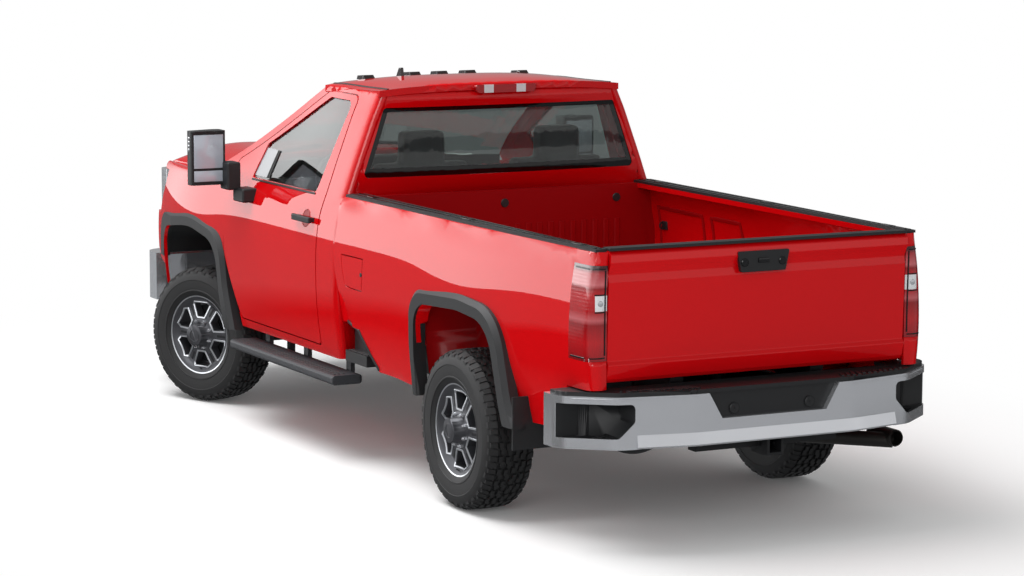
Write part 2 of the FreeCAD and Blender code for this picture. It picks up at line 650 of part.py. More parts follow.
def make_cab_sides():
    """Pillars, sill, roof rails and rear corners, one solid each side."""
    pillar_foot_x = door_rear_x + S.pillar_base_reach
    pillar_top_x = door_rear_x + S.pillar_top_reach
    outline = [
        (cab_x - S.cut_over, S.rocker_height),
        (cab_x - S.cut_over, S.eave_height),
        (pillar_top_x, S.eave_height),
        (pillar_foot_x, S.screen_foot),
        (pillar_foot_x, S.cowl_height - S.floor_thick),
        (door_front_x, S.cowl_height - S.floor_thick),
        (door_front_x + S.door_gap_front - S.door_length + S.door_low_front, S.rocker_height),
    ]
    silhouette = side_prism(outline, 0, S.bulge_half + S.cut_over)
    opening = side_prism(door_outline(S.door_gap_front, S.door_gap_rear, S.door_gap),
                         0, S.bulge_half + S.cut_over, door_radii(DOOR_RADII_SHARES))
    outer = skin_thin.common(silhouette).cut(opening)
    inner_low = cab_skin(S.wall - S.skin / 2, S.skin / 2)
    pillar = inner_low.common(block(Vector(cab_x + S.skin / 4, 0, S.floor_height - S.floor_thick),
                                    Vector(door_rear_x - S.door_gap_rear, S.bulge_half, S.belt_height)))
    inner_face = S.rocker_half - S.wall
    sill = block(Vector(cab_x + S.corner_round, inner_face - S.sill_width / 2, S.rocker_height),
                 Vector(door_rear_x + S.door_low_front - S.skin, S.rocker_half - S.skin / 2,
                        S.door_bottom - S.door_gap))
    post = block(Vector(door_front_x - S.wall, inner_face - S.sill_width / 2, S.rocker_height + S.skin),
                 Vector(door_front_x + S.skin, inner_face, S.cowl_height - S.floor_thick - S.fit))
    post = post.cut(cab_skin(S.door_inner + S.door_gap, S.skin / 2))
    foot = block(Vector(door_rear_x + S.door_low_front - S.skin - S.sill_width, inner_face - S.sill_width / 2,
                        S.rocker_height),
                 Vector(door_front_x + S.skin, inner_face, S.door_bottom - S.door_gap))
    top_link = block(Vector(door_front_x - S.wall, inner_face - S.sill_width / 2,
                            S.cowl_height - S.floor_thick - S.skin),
                     Vector(door_front_x + S.cowl_reach, S.belt_half - S.skin / 2, S.cowl_height))
    top_link = top_link.cut(opening)
    side = fuse([outer, pillar, sill, foot, post, top_link]).cut(back_window(0))
    keep("cab_sides", both_sides(side))
    return side


def make_door():
    """Left door: skin and window frame, with the trimmed inner part below the belt."""
    outline = door_outline(0, 0, 0)
    shape = side_prism(outline, 0, S.bulge_half + S.cut_over, door_radii(DOOR_RADII_SHARES))
    window = side_prism(window_outline(0), 0, S.bulge_half + S.cut_over, door_radii(WINDOW_RADII_SHARES))
    frame = skin_frame.common(shape).cut(window)
    inset = S.door_gap
    inner_outline = [
        (door_rear_x + inset, S.door_bottom + inset),
        (door_rear_x + inset, S.window_sill - inset),
        (door_front_x - inset, S.window_sill - inset),
        (door_front_x - inset, S.bulge_height),
        (door_rear_x + S.door_low_front - 2 * inset, S.door_bottom + inset),
    ]
    inner = cab_skin(S.door_inner, S.skin / 2).common(side_prism(inner_outline, 0, S.bulge_half))
    door = fuse([frame, inner])
    lifted = cab_skin(S.glass_thick, S.glass_inset)
    glass = lifted.common(side_prism(window_outline(-S.fit), 0, S.bulge_half + S.cut_over,
                                     door_radii(WINDOW_RADII_SHARES)))
    for side, turn in (("left", None), ("right", Y_AXIS)):
        for label, shape_left in (("door", door), ("door_glass", glass)):
            shape_side = shape_left if turn is None else shape_left.mirror(ORIGIN, turn)
            keep(f"{label}_{side}", shape_side)


def make_mirror():
    """Tall towing mirror on two arms, with the pull handle, which both ride on the door."""
    x = door_front_x - S.mirror_reach
    head_front = x + S.mirror_depth / 2
    head_points = [
        (x - S.mirror_depth / 2, S.mirror_inner),
        (x - S.mirror_depth / 2, S.mirror_outer),
        (head_front - S.mirror_depth / 3, S.mirror_outer),
        (head_front, S.mirror_inner + S.mirror_depth / 2),
        (head_front, S.mirror_inner),
    ]
    head = plan_prism(head_points, S.mirror_low, S.mirror_high, S.mirror_arm / 2)
    glass_back = x - S.mirror_depth / 2
    hollow = block(Vector(glass_back - S.cut_over, S.mirror_inner + S.mirror_glass, S.mirror_low + S.mirror_glass),
                   Vector(glass_back + S.mirror_glass, S.mirror_outer - S.mirror_glass,
                          S.mirror_high - S.mirror_glass))
    head = head.cut(hollow)
    foot_inner = cab_half(x, S.mirror_foot_high) - S.skin * 2
    foot_rear = glass_back - S.mirror_foot_length / 2
    arms = [
        block(Vector(foot_rear - S.mirror_foot_length / 2, foot_inner, S.mirror_foot_low),
              Vector(foot_rear + S.mirror_foot_length / 2, S.mirror_foot_half, S.mirror_foot_high)),
        block(Vector(foot_rear, S.mirror_foot_half - S.mirror_arm / 2, S.mirror_foot_high - S.mirror_arm / 4),
              Vector(glass_back + S.mirror_arm, S.mirror_inner + S.mirror_arm / 2, S.mirror_post_high)),
    ]
    arms = [arm.makeFillet(S.mirror_arm / 4, arm.Edges) for arm in arms]
    handle_x = door_rear_x + S.handle_reach
    skin_y = lower_half(S.handle_level)
    grip = block(Vector(handle_x, skin_y + S.handle_stand, S.handle_level - S.handle_height / 2),
                 Vector(handle_x + S.handle_length, skin_y + S.handle_stand + S.handle_depth,
                        S.handle_level + S.handle_height / 2))
    grip = grip.makeFillet(S.handle_depth / 3, grip.Edges)
    feet = [
        block(Vector(start, skin_y + S.fit, S.handle_level - S.handle_height / 3),
              Vector(start + S.handle_height, skin_y + S.handle_stand + S.handle_depth / 2,
                     S.handle_level + S.handle_height / 3))
        for start in (handle_x + S.handle_height / 3, handle_x + S.handle_length - 4 * S.handle_height / 3)
    ]
    mirror = fuse([head] + arms)
    handle = fuse([grip] + feet)
    for node in nodes:
        if node.Label in ("door_left", "door_glass_left"):
            mirror = mirror.cut(node.Shape)
            handle = handle.cut(node.Shape)
    mirror = max(mirror.Solids, key=lambda solid: solid.Volume)
    handle = max(handle.Solids, key=lambda solid: solid.Volume)
    fittings = Part.makeCompound([mirror, handle])
    keep("mirror_handle_left", fittings)
    keep("mirror_handle_right", fittings.mirror(ORIGIN, Y_AXIS))


BACK_ROW_SHARES = [row / 15 for row in range(16)]


def make_cab_back():
    """Bowed rear wall of the cab with its window."""
    def back_x(y, height):
        lean = (height - S.floor_height) / (S.eave_height - S.floor_height)
        across = min(1.0, abs(y) / S.belt_half)
        swell = min(1.0, max(0.0, (height - S.belt_height) / (S.back_window_low - S.belt_height)))
        bow = S.back_bow * (3 - 2 * swell) * swell ** 2
        return cab_x - bow * (1 - across ** 2) + S.back_lean * max(0.0, lean) ** 3

    heights = span(S.floor_height - S.floor_thick, S.eave_height, BACK_ROW_SHARES)
    widths = span(-S.belt_half, S.belt_half, (0, 0.1, 0.25, 0.4, 0.5, 0.6, 0.75, 0.9, 1))

    def sheet_at(inset, depth):
        rows = [[Vector(back_x(y, height) + inset, y, height) for y in widths] for height in heights]
        return slab(rows, Vector(depth, 0, 0))

    wall_shape = sheet_at(0, S.skin)
    margin = S.corner_round + S.fit
    bounds = end_prism(trapezoid(S.belt_height, S.eave_height, cab_half(cab_x, S.belt_height) - margin,
                                 cab_half(cab_x, S.eave_height) - margin),
                       cab_x - S.wall - S.cut_over, cab_x + S.wall + S.cut_over)
    low_margin = margin + S.skin + S.wall / 2
    low_bounds = end_prism(trapezoid(S.floor_height - S.floor_thick, S.belt_height,
                                     S.rocker_half - low_margin, cab_half(cab_x, S.belt_height) - low_margin),
                           cab_x - S.wall - S.cut_over, cab_x + S.wall + S.cut_over)
    wall_shape = wall_shape.common(fuse([bounds, low_bounds])).cut(back_window(0))
    side_shapes = [node.Shape for node in nodes if node.Label == "cab_sides"]
    for side_shape in side_shapes:
        wall_shape = wall_shape.cut(side_shape)
    keep("cab_back", wall_shape)
    keep("rear_window", sheet_at(S.glass_thick, S.glass_thick).common(back_window(-S.fit)))


def roof_level(x, y):
    """Height of the roof's upper face."""
    rear = cab_x - S.back_bow / 2
    front = door_rear_x + S.pillar_top_reach + S.roof_front_reach
    along = (x - rear) / (front - rear)
    crown_share = 0.45
    drop = S.roof_front_drop if along > crown_share else S.roof_rear_drop
    reach = (1 - crown_share) if along > crown_share else crown_share
    away = abs(along - crown_share) / reach
    across = abs(y) / S.eave_half
    edge_drop = (S.roof_height - S.eave_height) * (across ** 3)
    return S.roof_height - drop * away ** 2.4 - edge_drop * (1 - 0.55 * away ** 2)


def make_roof():
    """Crowned roof panel between the roof rails."""
    rear = cab_x - S.back_bow / 2
    front_mid = door_rear_x + S.pillar_top_reach + S.roof_front_reach
    front_side = door_rear_x + S.pillar_top_reach
    across_shares = (-1, -0.93, -0.8, -0.55, -0.28, 0, 0.28, 0.55, 0.8, 0.93, 1)
    rows = []
    for along in (0, 0.12, 0.3, 0.5, 0.7, 0.88, 1):
        row = []
        for across in across_shares:
            front = front_side + (front_mid - front_side) * (1 - across ** 2)
            back = rear + S.back_bow / 2 * across ** 2
            x = back + (front - back) * along
            y = across * S.eave_half
            row.append(Vector(x, y, roof_level(x, y) + S.fit))
        rows.append(row)
    panel = slab(rows, Vector(0, 0, -S.roof_thick))
    for node in nodes:
        if node.Label in ("cab_sides", "cab_back", "door_left", "door_right"):
            panel = panel.cut(node.Shape)
    keep("roof", max(panel.Solids, key=lambda solid: solid.Volume))


def make_windscreen():
    """Raked, bowed windscreen between the pillars."""
    low, high = S.screen_foot, S.screen_head
    rows = []
    for up in (0, 0.2, 0.4, 0.6, 0.8, 1.02):
        height = low + (high - low) * up
        edge_x = door_rear_x + S.pillar_top_reach + (high - height) / pillar_slope
        half = cab_half(edge_x, height) - S.skin
        bow = S.screen_bow + (S.screen_bow_top - S.screen_bow) * up
        rows.append([Vector(edge_x + bow * (1 - across ** 2), across * half, height)
                     for across in (-1, -0.75, -0.5, -0.25, 0, 0.25, 0.5, 0.75, 1)])
    pane = slab(rows, Vector(-S.glass_thick, 0, -S.glass_thick))
    for node in nodes:
        if node.Label in ("cab_sides", "roof"):
            pane = pane.cut(node.Shape)
    keep("windshield", max(pane.Solids, key=lambda solid: solid.Volume))


def make_cowl():
    """Upright cowl panel that the windscreen's foot stands on."""
    reach_x = door_rear_x + S.pillar_base_reach
    half = cab_half(reach_x, S.screen_foot) - S.skin
    shares = (-1, -0.75, -0.5, -0.25, 0, 0.25, 0.5, 0.75, 1)
    rows = [[Vector(reach_x + S.screen_bow * (1 - share ** 2), share * half, height) for share in shares]
            for height in (S.cowl_low + S.fit, S.screen_foot - S.cut_over, S.screen_foot - S.fit)]
    panel = slab(rows, Vector(-S.cowl_thick, 0, 0))
    for node in nodes:
        if node.Label in ("cab_sides", "windshield", "front_fenders"):
            panel = panel.cut(node.Shape)
    keep("cowl", max(panel.Solids, key=lambda solid: solid.Volume))


def make_cab_floor():
    """Cab floor, sloped toe board, firewall and cowl, as one welded pressing."""
    rear = cab_x + S.skin + S.fit
    wall_x = door_front_x + S.cowl_reach
    top = S.floor_height
    low = top - S.floor_thick
    toe_start = door_front_x - S.cowl_reach
    toe_top = top + 2.6 * S.cowl_reach
    half = S.rocker_half - S.wall - S.sill_width / 2 - S.fit
    thick = S.floor_thick
    side = [
        (rear, low), (rear, top), (toe_start, top), (wall_x - thick, toe_top),
        (wall_x - thick, S.cowl_low), (wall_x + S.cowl_reach, S.cowl_low),
        (wall_x + S.cowl_reach, S.cowl_low - thick), (wall_x, S.cowl_low - thick),
        (wall_x, toe_top - thick / 3), (toe_start + thick / 3, low),
    ]
    keep("cab_floor", side_prism(side, -half, half))


def make_seats():
    """Two bucket seats with a middle console, as plain closed forms."""
    foot_x = door_rear_x + S.seat_reach
    pedestal_top = S.seat_height - S.seat_thick - S.fit
    cushions = []
    backs = []
    for centre in (-S.seat_centre, S.seat_centre):
        low = Vector(foot_x + S.seat_gap, centre - S.seat_width / 2, S.seat_height - S.seat_thick)
        high = Vector(foot_x + S.seat_depth, centre + S.seat_width / 2, S.seat_height)
        cushion = block(low, high)
        cushions.append(cushion.makeFillet(S.seat_thick / 4, cushion.Edges))
        outline = [
            (foot_x, S.seat_height - S.seat_thick), (foot_x - S.seat_back_lean, S.seat_back_top),
            (foot_x - S.seat_back_lean - S.seat_back_thick, S.seat_back_top),
            (foot_x - S.seat_back_thick, S.seat_height - S.seat_thick),
        ]
        back = side_prism(outline, centre - S.seat_width / 2, centre + S.seat_width / 2,
                          S.seat_back_thick / 3)
        rest_x = foot_x - S.seat_back_lean - S.seat_back_thick / 2
        rest = block(Vector(rest_x - S.seat_back_thick / 2, centre - S.head_rest_width / 2,
                            S.seat_back_top - S.skin),
                     Vector(rest_x + S.seat_back_thick / 2, centre + S.head_rest_width / 2, S.head_rest_top))
        rest = rest.makeFillet(S.skin, rest.Edges)
        backs.append(fuse([back, rest]))
    keep("seat_cushions", Part.makeCompound(cushions))
    keep("seat_backs", Part.makeCompound(backs))
    console = block(Vector(foot_x - S.seat_back_thick, -S.console_half, S.floor_height + S.fit),
                    Vector(door_front_x - S.dash_reach + S.wall, S.console_half, S.dash_low + S.wall))
    bases = [
        block(Vector(foot_x - S.seat_back_thick, centre - S.seat_width / 3, S.floor_height + S.fit),
              Vector(foot_x + S.seat_depth - S.seat_gap, centre + S.seat_width / 3, pedestal_top))
        for centre in (-S.seat_centre, S.seat_centre)
    ]
    dash_rear = door_front_x - S.dash_reach
    dash = side_prism([
        (dash_rear, S.dash_low + S.skin), (dash_rear - S.skin, S.dash_high - 2 * S.wall),
        (dash_rear + S.wall, S.dash_high), (door_front_x + S.cowl_reach - S.floor_thick - S.fit, S.dash_high - S.wall),
        (door_front_x + S.cowl_reach - S.floor_thick - S.fit, S.dash_low),
    ], -S.dash_half, S.dash_half, S.skin)
    keep("dashboard", fuse([dash, console]))
    keep("seat_bases", Part.makeCompound(bases))


def make_steering_wheel():
    """Steering wheel on its column."""
    lean = math.radians(S.steering_lean)
    axis = Vector(-math.cos(lean), 0, math.sin(lean))
    root = Vector(door_front_x - S.dash_reach + S.skin, S.seat_centre, S.dash_high - S.wall * 1.6)
    centre = root + axis * S.column_length
    wheel = []
    facets = 10
    section = [(S.steering_wheel_radius + S.steering_rim * math.cos(2 * math.pi * step / facets),
                S.steering_rim * math.sin(2 * math.pi * step / facets)) for step in range(facets)]
    face = rounded_face(section, 0, lambda a, b: Vector(a, 0, b))
    wheel.append(face.revolve(ORIGIN, Z_AXIS, 360))
    depth = S.steering_rim / 2
    for angle in (0, 90, 180):
        spoke = block(Vector(0, -S.steering_rim, -depth), Vector(S.steering_wheel_radius, S.steering_rim, depth))
        spoke.rotate(ORIGIN, Z_AXIS, angle)
        wheel.append(spoke)
    wheel.append(Part.makeCylinder(S.column_radius * 2, S.column_radius * 1.5, Vector(0, 0, -S.column_radius), Z_AXIS))
    wheel.append(Part.makeCylinder(S.column_radius, S.column_length - S.skin * 3,
                                   Vector(0, 0, S.skin * 3 - S.column_length), Z_AXIS))
    wheel = fuse(wheel)
    wheel.Placement = Placement(centre, Rotation(Y_AXIS * -1, axis.cross(Y_AXIS * -1), axis, "ZXY"))
    keep("steering_wheel", wheel)


def hood_level(x, y):
    """Height of the hood's upper face."""
    rear = front_x - S.hood_rear_reach
    front = front_x + S.hood_front_reach
    along = min(1.0, max(0.0, (x - rear) / (front - rear)))
    middle = S.hood_rear_height + (S.hood_front_height - S.hood_rear_height) * along
    nose_share = 0.84
    if along > nose_share:
        nose = (along - nose_share) / (1 - nose_share)
        middle -= (S.hood_front_height - S.hood_nose_height) * nose ** 2
    across = abs(y) / S.hood_half
    dome_share = 0.5
    outside = max(0.0, across - dome_share) / (1 - dome_share)
    return middle - S.hood_side_drop * outside ** 1.5


def make_hood():
    """Domed hood, hinged at its rear edge."""
    across_shares = (-1, -0.88, -0.74, -0.6, -0.5, -0.3, 0, 0.3, 0.5, 0.6, 0.74, 0.88, 1)
    along_shares = (0, 0.15, 0.35, 0.55, 0.75, 0.86, 0.94, 1)
    rows = []
    for along in along_shares:
        row = []
        for across in across_shares:
            rear = front_x - S.hood_rear_reach - S.hood_rear_sweep * across ** 2
            front = front_x + S.hood_front_reach - S.fender_nose_turn * across ** 2
            x = rear + (front - rear) * along
            y = across * S.hood_half
            row.append(Vector(x, y, hood_level(x, y)))
        rows.append(row)
    keep("hood", slab(rows, Vector(0, 0, -S.skin)))
    lowered = [[point - Vector(0, 0, S.skin + S.hood_room) for point in row] for row in rows]
    return slab(lowered, Vector(0, 0, S.wall * 3))


NOSE_START_SHARE = 0.55


def make_fenders():
    """Front fenders with the swell round the wheel arch."""
    start = door_front_x + S.door_gap_front
    end = front_x + S.fender_front_reach
    heights = span(S.rocker_height - S.cut_over, S.fender_shoulder, (0, 0.15, 0.3, 0.45, 0.6, 0.75, 0.88, 1))
    top_half = S.hood_half + S.hood_gap
    turn_shares = ((0.3, 0.92), (0.62, 0.97), (1, 1))
    along_shares = (0, 0.08, 0.17, 0.26, 0.36, 0.46, 0.56, 0.66, 0.76, 0.85, 0.93, 1)
    rows = []
    for along in along_shares:
        x = start + (end - start) * along
        nose = max(0.0, (along - NOSE_START_SHARE) / (1 - NOSE_START_SHARE))
        turn = S.fender_nose_turn * nose ** 2
        faded = min(1.0, (x - start) / S.flare_fade)
        grown = faded ** 2 * (3 - 2 * faded)
        row = []
        for height in heights:
            half = lower_half(height) if height < S.bulge_height else (
                S.bulge_half + (S.fender_shoulder_half - S.bulge_half)
                * ((height - S.bulge_height) / (S.fender_shoulder - S.bulge_height)) ** 2)
            swell = flare(x, height, front_x, S.front_arch_half, S.front_arch_rise, S.front_flare)
            row.append(Vector(x, half + swell * grown - turn, height))
        last = row[-1]
        for in_share, up_share in turn_shares:
            y = last.y + (top_half - last.y) * in_share
            z = S.fender_shoulder + (S.fender_top - S.fender_shoulder) * up_share
            row.append(Vector(x, y, z))
        rows.append(row)
    panel = slab(rows, Vector(0, -S.skin * 0.8, -S.skin * 0.5))
    outer_limit = S.bulge_half + S.front_flare + S.cut_over
    hip = S.door_length - S.door_low_front
    outline = [
        (start, S.fender_top + S.cut_over), (end, S.fender_top + S.cut_over), (end, S.front_bumper_high + S.skin),
        (front_x + S.front_arch_half, S.front_bumper_high - S.cut_over),
        (front_x + S.front_arch_half, S.rocker_height), (start - hip, S.rocker_height),
        (start, S.bulge_height - S.skin),
    ]
    panel = panel.common(side_prism(outline, 0, outer_limit))
    panel = panel.cut(arch_prism(front_x, S.front_arch_half, S.front_arch_rise, 0, axle_z - S.cut_over,
                                 0, outer_limit))
    head = block(Vector(end - S.wall * 2, 0, S.head_low), Vector(end + S.wall, outer_limit, S.head_high))
    panel = panel.cut(head)
    hood_space = block(Vector(start - S.cut_over, 0, S.fender_shoulder - S.wall),
                       Vector(end + S.wall, S.hood_half + S.hood_gap, S.fender_top + S.wall))
    panel = panel.cut(hood_space)
    sides = [node.Shape for node in nodes if node.Label == "cab_sides"]
    for side in sides:
        panel = panel.cut(side)
    panel = max(panel.Solids, key=lambda solid: solid.Volume)
    keep("front_fenders", both_sides(panel))


def make_arch_trim():
    """Black mouldings with a bevelled outer edge round the four arches, and rear mud flaps."""
    pieces = []
    bevel = S.arch_trim_width * 0.3
    for centre, half, rise in ((front_x, S.front_arch_half, S.front_arch_rise), (rear_x, S.arch_half, S.arch_rise)):
        foot = S.rocker_height - S.skin
        width = S.arch_trim_width
        near = S.arch_trim_out - S.arch_trim_thick
        far = S.arch_trim_out - bevel
        base = arch_prism(centre, half, rise, width, foot, near, far)
        rings = []
        for grow, y in ((width, far), (width - bevel, S.arch_trim_out)):
            radii = [(S.arch_radius + grow) * share for share in ARCH_RADII_SHARES]
            face = rounded_face(arch_points(centre, half, rise, grow, foot), radii, lambda a, b: Vector(a, y, b))
            rings.append(face.OuterWire)
        edge = Part.makeLoft(rings, True, True)
        inner = arch_prism(centre, half, rise, 0, foot - S.cut_over, 0, S.arch_trim_out + S.cut_over)
        pieces.append(fuse([base, edge]).cut(inner))
    front, rear = pieces
    nose_x = front_x + S.front_arch_half
    follow = plan_prism([
        (door_rear_x, 0), (door_rear_x, S.arch_trim_out + S.skin), (front_x, S.arch_trim_out + S.skin),
        (nose_x - S.arch_radius, S.arch_trim_out), (nose_x + S.arch_trim_width, S.arch_trim_out - S.cut_over),
        (nose_x + S.wall * 2, 0),
    ], 0, S.roof_height, [0, 0, 0, S.arch_radius * 3, 0, 0])
    front = front.common(follow)
    front = front.cut(block(Vector(front_x, 0, 0), Vector(nose_x + S.wall * 2, S.arch_trim_out + S.cut_over,
                                                         S.front_bumper_high + S.skin / 3)))
    flap_x = rear_x - (S.arch_half + S.arch_trim_width) * 1.24
    flap = block(Vector(flap_x - S.flap_thick, S.arch_trim_out - S.skin / 4 - S.flap_width, S.flap_height),
                 Vector(flap_x, S.arch_trim_out - S.skin / 4, S.rocker_height + S.flap_width / 2))
    rear = fuse([rear, flap])
    trimmed = []
    for piece in (front, rear):
        for node in nodes:
            if node.Label in ("front_fenders", "box_sides", "cab_sides", "rear_bumper", "box_floor"):
                piece = piece.cut(node.Shape)
        trimmed.append(max(piece.Solids, key=lambda solid: solid.Volume))
    keep("arch_mouldings", Part.makeCompound([both_sides(piece) for piece in trimmed]))


def make_wheel_liners():
    """Black liners over the front wheels."""
    rise = S.front_arch_rise + S.liner_thick
    half = S.front_arch_half + S.liner_thick
    near = S.frame_half + S.wall
    far = S.arch_trim_out - S.arch_trim_thick - S.fit
    foot = S.rocker_height
    liner = arch_prism(front_x, half, rise, S.liner_thick, foot, near, far)
    liner = liner.cut(arch_prism(front_x, half, rise, 0, foot - S.cut_over, near - S.cut_over, far + S.cut_over))
    liner = liner.cut(block(Vector(front_x, 0, 0), Vector(front_x + half * 2, far + S.cut_over,
                                                         S.front_bumper_high + S.skin)))
    for node in nodes:
        if node.Label in ("front_fenders", "cab_floor", "cab_sides", "frame", "engine"):
            liner = liner.cut(node.Shape)
    keep("wheel_liners", both_sides(max(liner.Solids, key=lambda solid: solid.Volume)))


def box_rear_half(height):
    """Half width of the box side at its rear end."""
    widest = S.box_rear_bulge_half
    if height < S.bulge_height:
        down = (S.bulge_height - height) / (S.bulge_height - S.rocker_height)
        return widest - (widest - S.box_rear_low_half) * down ** 2
    up = min(1.0, (height - S.bulge_height) / (S.belt_height - S.bulge_height))
    return widest - (widest - S.box_rear_belt_half) * up ** 2


def box_half(x, height):
    """Half width of the box side."""
    back = min(1.0, max(0.0, (box_front_x - x) / (box_front_x - box_rear_x)))
    base = lower_half(min(height, S.belt_height))
    swell = flare(x, height, rear_x, S.arch_half, S.arch_rise, S.rear_flare)
    return base + (box_rear_half(height) - base) * back ** 1.4 + swell


def box_skin(depth, inset):
    """Left side of the box, wrapped round the tail lamp corner."""
    heights = span(S.rocker_height - S.cut_over, S.rail_height, (0, 0.12, 0.24, 0.36, 0.48, 0.6, 0.72, 0.86, 1))
    corner_start = box_rear_x + S.box_corner
    lengths = span(box_front_x, corner_start, (-0.02, 0.08, 0.17, 0.26, 0.34, 0.42, 0.5, 0.58, 0.66, 0.75, 0.85, 0.94, 1))
    wrap_shares = ((0.55, 0.12), (0.92, 0.55), (1, 1.2))
    rows = []
    for height in heights:
        row = [Vector(x, box_half(x, height) - inset, height) for x in lengths]
        half = box_half(corner_start, height) - inset
        for back_share, in_share in wrap_shares:
            row.append(Vector(corner_start - S.box_corner * back_share + inset,
                              half - S.box_corner * in_share, height))
        row.append(Vector(box_rear_x + inset, S.tailgate_half - S.cut_over, height))
        rows.append(row)
    return slab(rows, Vector(depth, -depth, 0))


def make_box_sides():
    """Double-walled box sides with lamp posts, arch, step opening and fuel door opening."""
    limit = S.bulge_half + S.rear_flare + S.cut_over
    inner_edge = S.tailgate_half + S.tailgate_gap
    outer = box_skin(S.skin, 0).common(block(Vector(box_rear_x - S.cut_over, inner_edge, S.rocker_height),
                                            Vector(box_front_x, limit, S.rail_height)))
    wall = box_skin(S.wall - S.skin / 2, S.skin / 2).common(
        block(Vector(box_rear_x + S.skin / 2, inner_edge, S.box_floor_height - S.box_floor_thick),
              Vector(box_front_x, limit, S.rail_height - S.skin / 2)))
    rail = block(Vector(box_rear_x + S.skin, inner_edge, S.rail_height - S.skin),
                 Vector(box_front_x, S.box_rear_belt_half - S.skin, S.rail_height))
    arch = arch_prism(rear_x, S.arch_half, S.arch_rise, 0, axle_z - S.cut_over, 0, limit)
    step = side_prism([
        (box_front_x + S.cut_over, S.step_top), (box_front_x - S.step_top_length, S.step_top),
        (box_front_x - S.step_low_length, S.rocker_height - S.cut_over),
        (box_front_x + S.cut_over, S.rocker_height - S.cut_over),
    ], 0, limit, S.skin)
    fuel = block(Vector(box_front_x - S.fuel_rear - S.fuel_gap, S.bulge_half - S.wall * 0.7, S.fuel_low - S.fuel_gap),
                 Vector(box_front_x - S.fuel_front + S.fuel_gap, limit, S.fuel_high + S.fuel_gap))
    lamp = lamp_tool(S.fit)
    notch = block(Vector(box_rear_x - S.cut_over, 0, 0),
                  Vector(box_rear_x + S.side_notch_reach, limit, S.side_notch_top))
    side = fuse([outer, wall, rail]).cut(arch).cut(step).cut(lamp).cut(notch)
    side = max(side.Solids, key=lambda solid: solid.Volume)
    left = side.cut(fuel)
    right = side.mirror(ORIGIN, Y_AXIS)
    keep("box_sides", Part.makeCompound([left, right]))
    tread = block(Vector(box_front_x - S.step_top_length, S.rocker_half - S.wall * 2, S.rocker_height),
                  Vector(box_front_x - S.skin, S.rocker_half - S.skin / 2, S.rocker_height + S.step_tread))
    keep("box_steps", both_sides(tread))


def lamp_tool(grow):
    """Body of the left tail lamp, grown by grow on its seated faces."""
    front = box_rear_x + S.lamp_side_reach + grow
    inner = S.tailgate_half + S.tailgate_gap - S.cut_over * (grow > 0)
    depth = S.lamp_depth + grow
    outer = S.bulge_half + S.rear_flare
    points = [
        (box_rear_x - S.cut_over, inner), (box_rear_x - S.cut_over, outer), (front, outer),
        (front, S.box_rear_belt_half - depth + S.skin), (box_rear_x + depth, S.box_rear_belt_half - depth),
        (box_rear_x + depth, inner),
    ]
    return plan_prism(points, S.lamp_low - grow, S.lamp_high + grow)


def make_tail_lamps():
    """Tail lamps that wrap the rear corners."""
    solid = box_skin(S.wall * 1.3, 0).common(lamp_tool(0))
    lamp = max(solid.Solids, key=lambda part: part.Volume)
    keep("tail_lamps", both_sides(lamp))


def make_fuel_door():
    """Fuel door on the left box side."""
    panel = box_skin(S.fuel_thick, 0).common(
        block(Vector(box_front_x - S.fuel_rear, S.bulge_half - S.wall, S.fuel_low),
              Vector(box_front_x - S.fuel_front, S.bulge_half + S.wall, S.fuel_high)))
    keep("fuel_door", max(panel.Solids, key=lambda solid: solid.Volume))


def make_box_floor():
    """Box floor with its wheelhouses and front wall."""
    rear = box_rear_x + S.tailgate_thick + S.tailgate_lean + S.tailgate_gap
    half = S.bulge_half - S.wall / 2
    low = S.box_floor_height - S.box_floor_thick
    floor = block(Vector(rear, -half, low), Vector(box_front_x, half, S.box_floor_height))
    front = block(Vector(box_front_x - S.box_front_thick, -half, S.box_floor_height - S.box_floor_thick),
                  Vector(box_front_x, half, S.rail_height))
    outer_face = S.bulge_half - S.wall
    house = arch_prism(rear_x, S.wheelhouse_half, S.wheelhouse_rise, 0, S.wheelhouse_foot,
                       S.wheelhouse_inner_half, outer_face)
    space = arch_prism(rear_x, S.wheelhouse_half - S.skin / 2, S.wheelhouse_rise - S.skin / 2, 0,
                       S.wheelhouse_foot - S.cut_over, S.wheelhouse_inner_half + S.skin / 2,
                       outer_face + S.cut_over)
    shell = house.cut(space)
    body = fuse([floor, front])
    for sign in (1, -1):
        solid, hollow = (shell, space) if sign > 0 else (shell.mirror(ORIGIN, Y_AXIS), space.mirror(ORIGIN, Y_AXIS))
        body = fuse([body.cut(hollow), solid])
    for node in nodes:
        if node.Label == "box_sides":
            body = body.cut(node.Shape)
    keep("box_floor", max(body.Solids, key=lambda part: part.Volume))


def make_rail_caps():
    """Black caps on the box rails."""
    inner = S.tailgate_half + S.tailgate_gap
    start = box_rear_x + S.skin / 2
    places = span(start, box_front_x, (0, 0.2, 0.4, 0.6, 0.8, 1))
    outer = [Vector(x, box_half(x, S.rail_height) - S.cap_set, S.rail_height + S.fit) for x in places]
    curve = Part.BSplineCurve()
    curve.interpolate(outer)
    corners = [outer[-1], Vector(box_front_x, inner, outer[0].z), Vector(start, inner, outer[0].z), outer[0]]
    edges = [curve.toShape()] + [Part.LineSegment(a, b).toShape() for a, b in zip(corners[:-1], corners[1:])]
    cap = Part.Face(Part.Wire(Part.sortEdges(edges)[0])).extrude(Vector(0, 0, S.cap_thick - S.fit))
    keep("rail_caps", both_sides(cap))


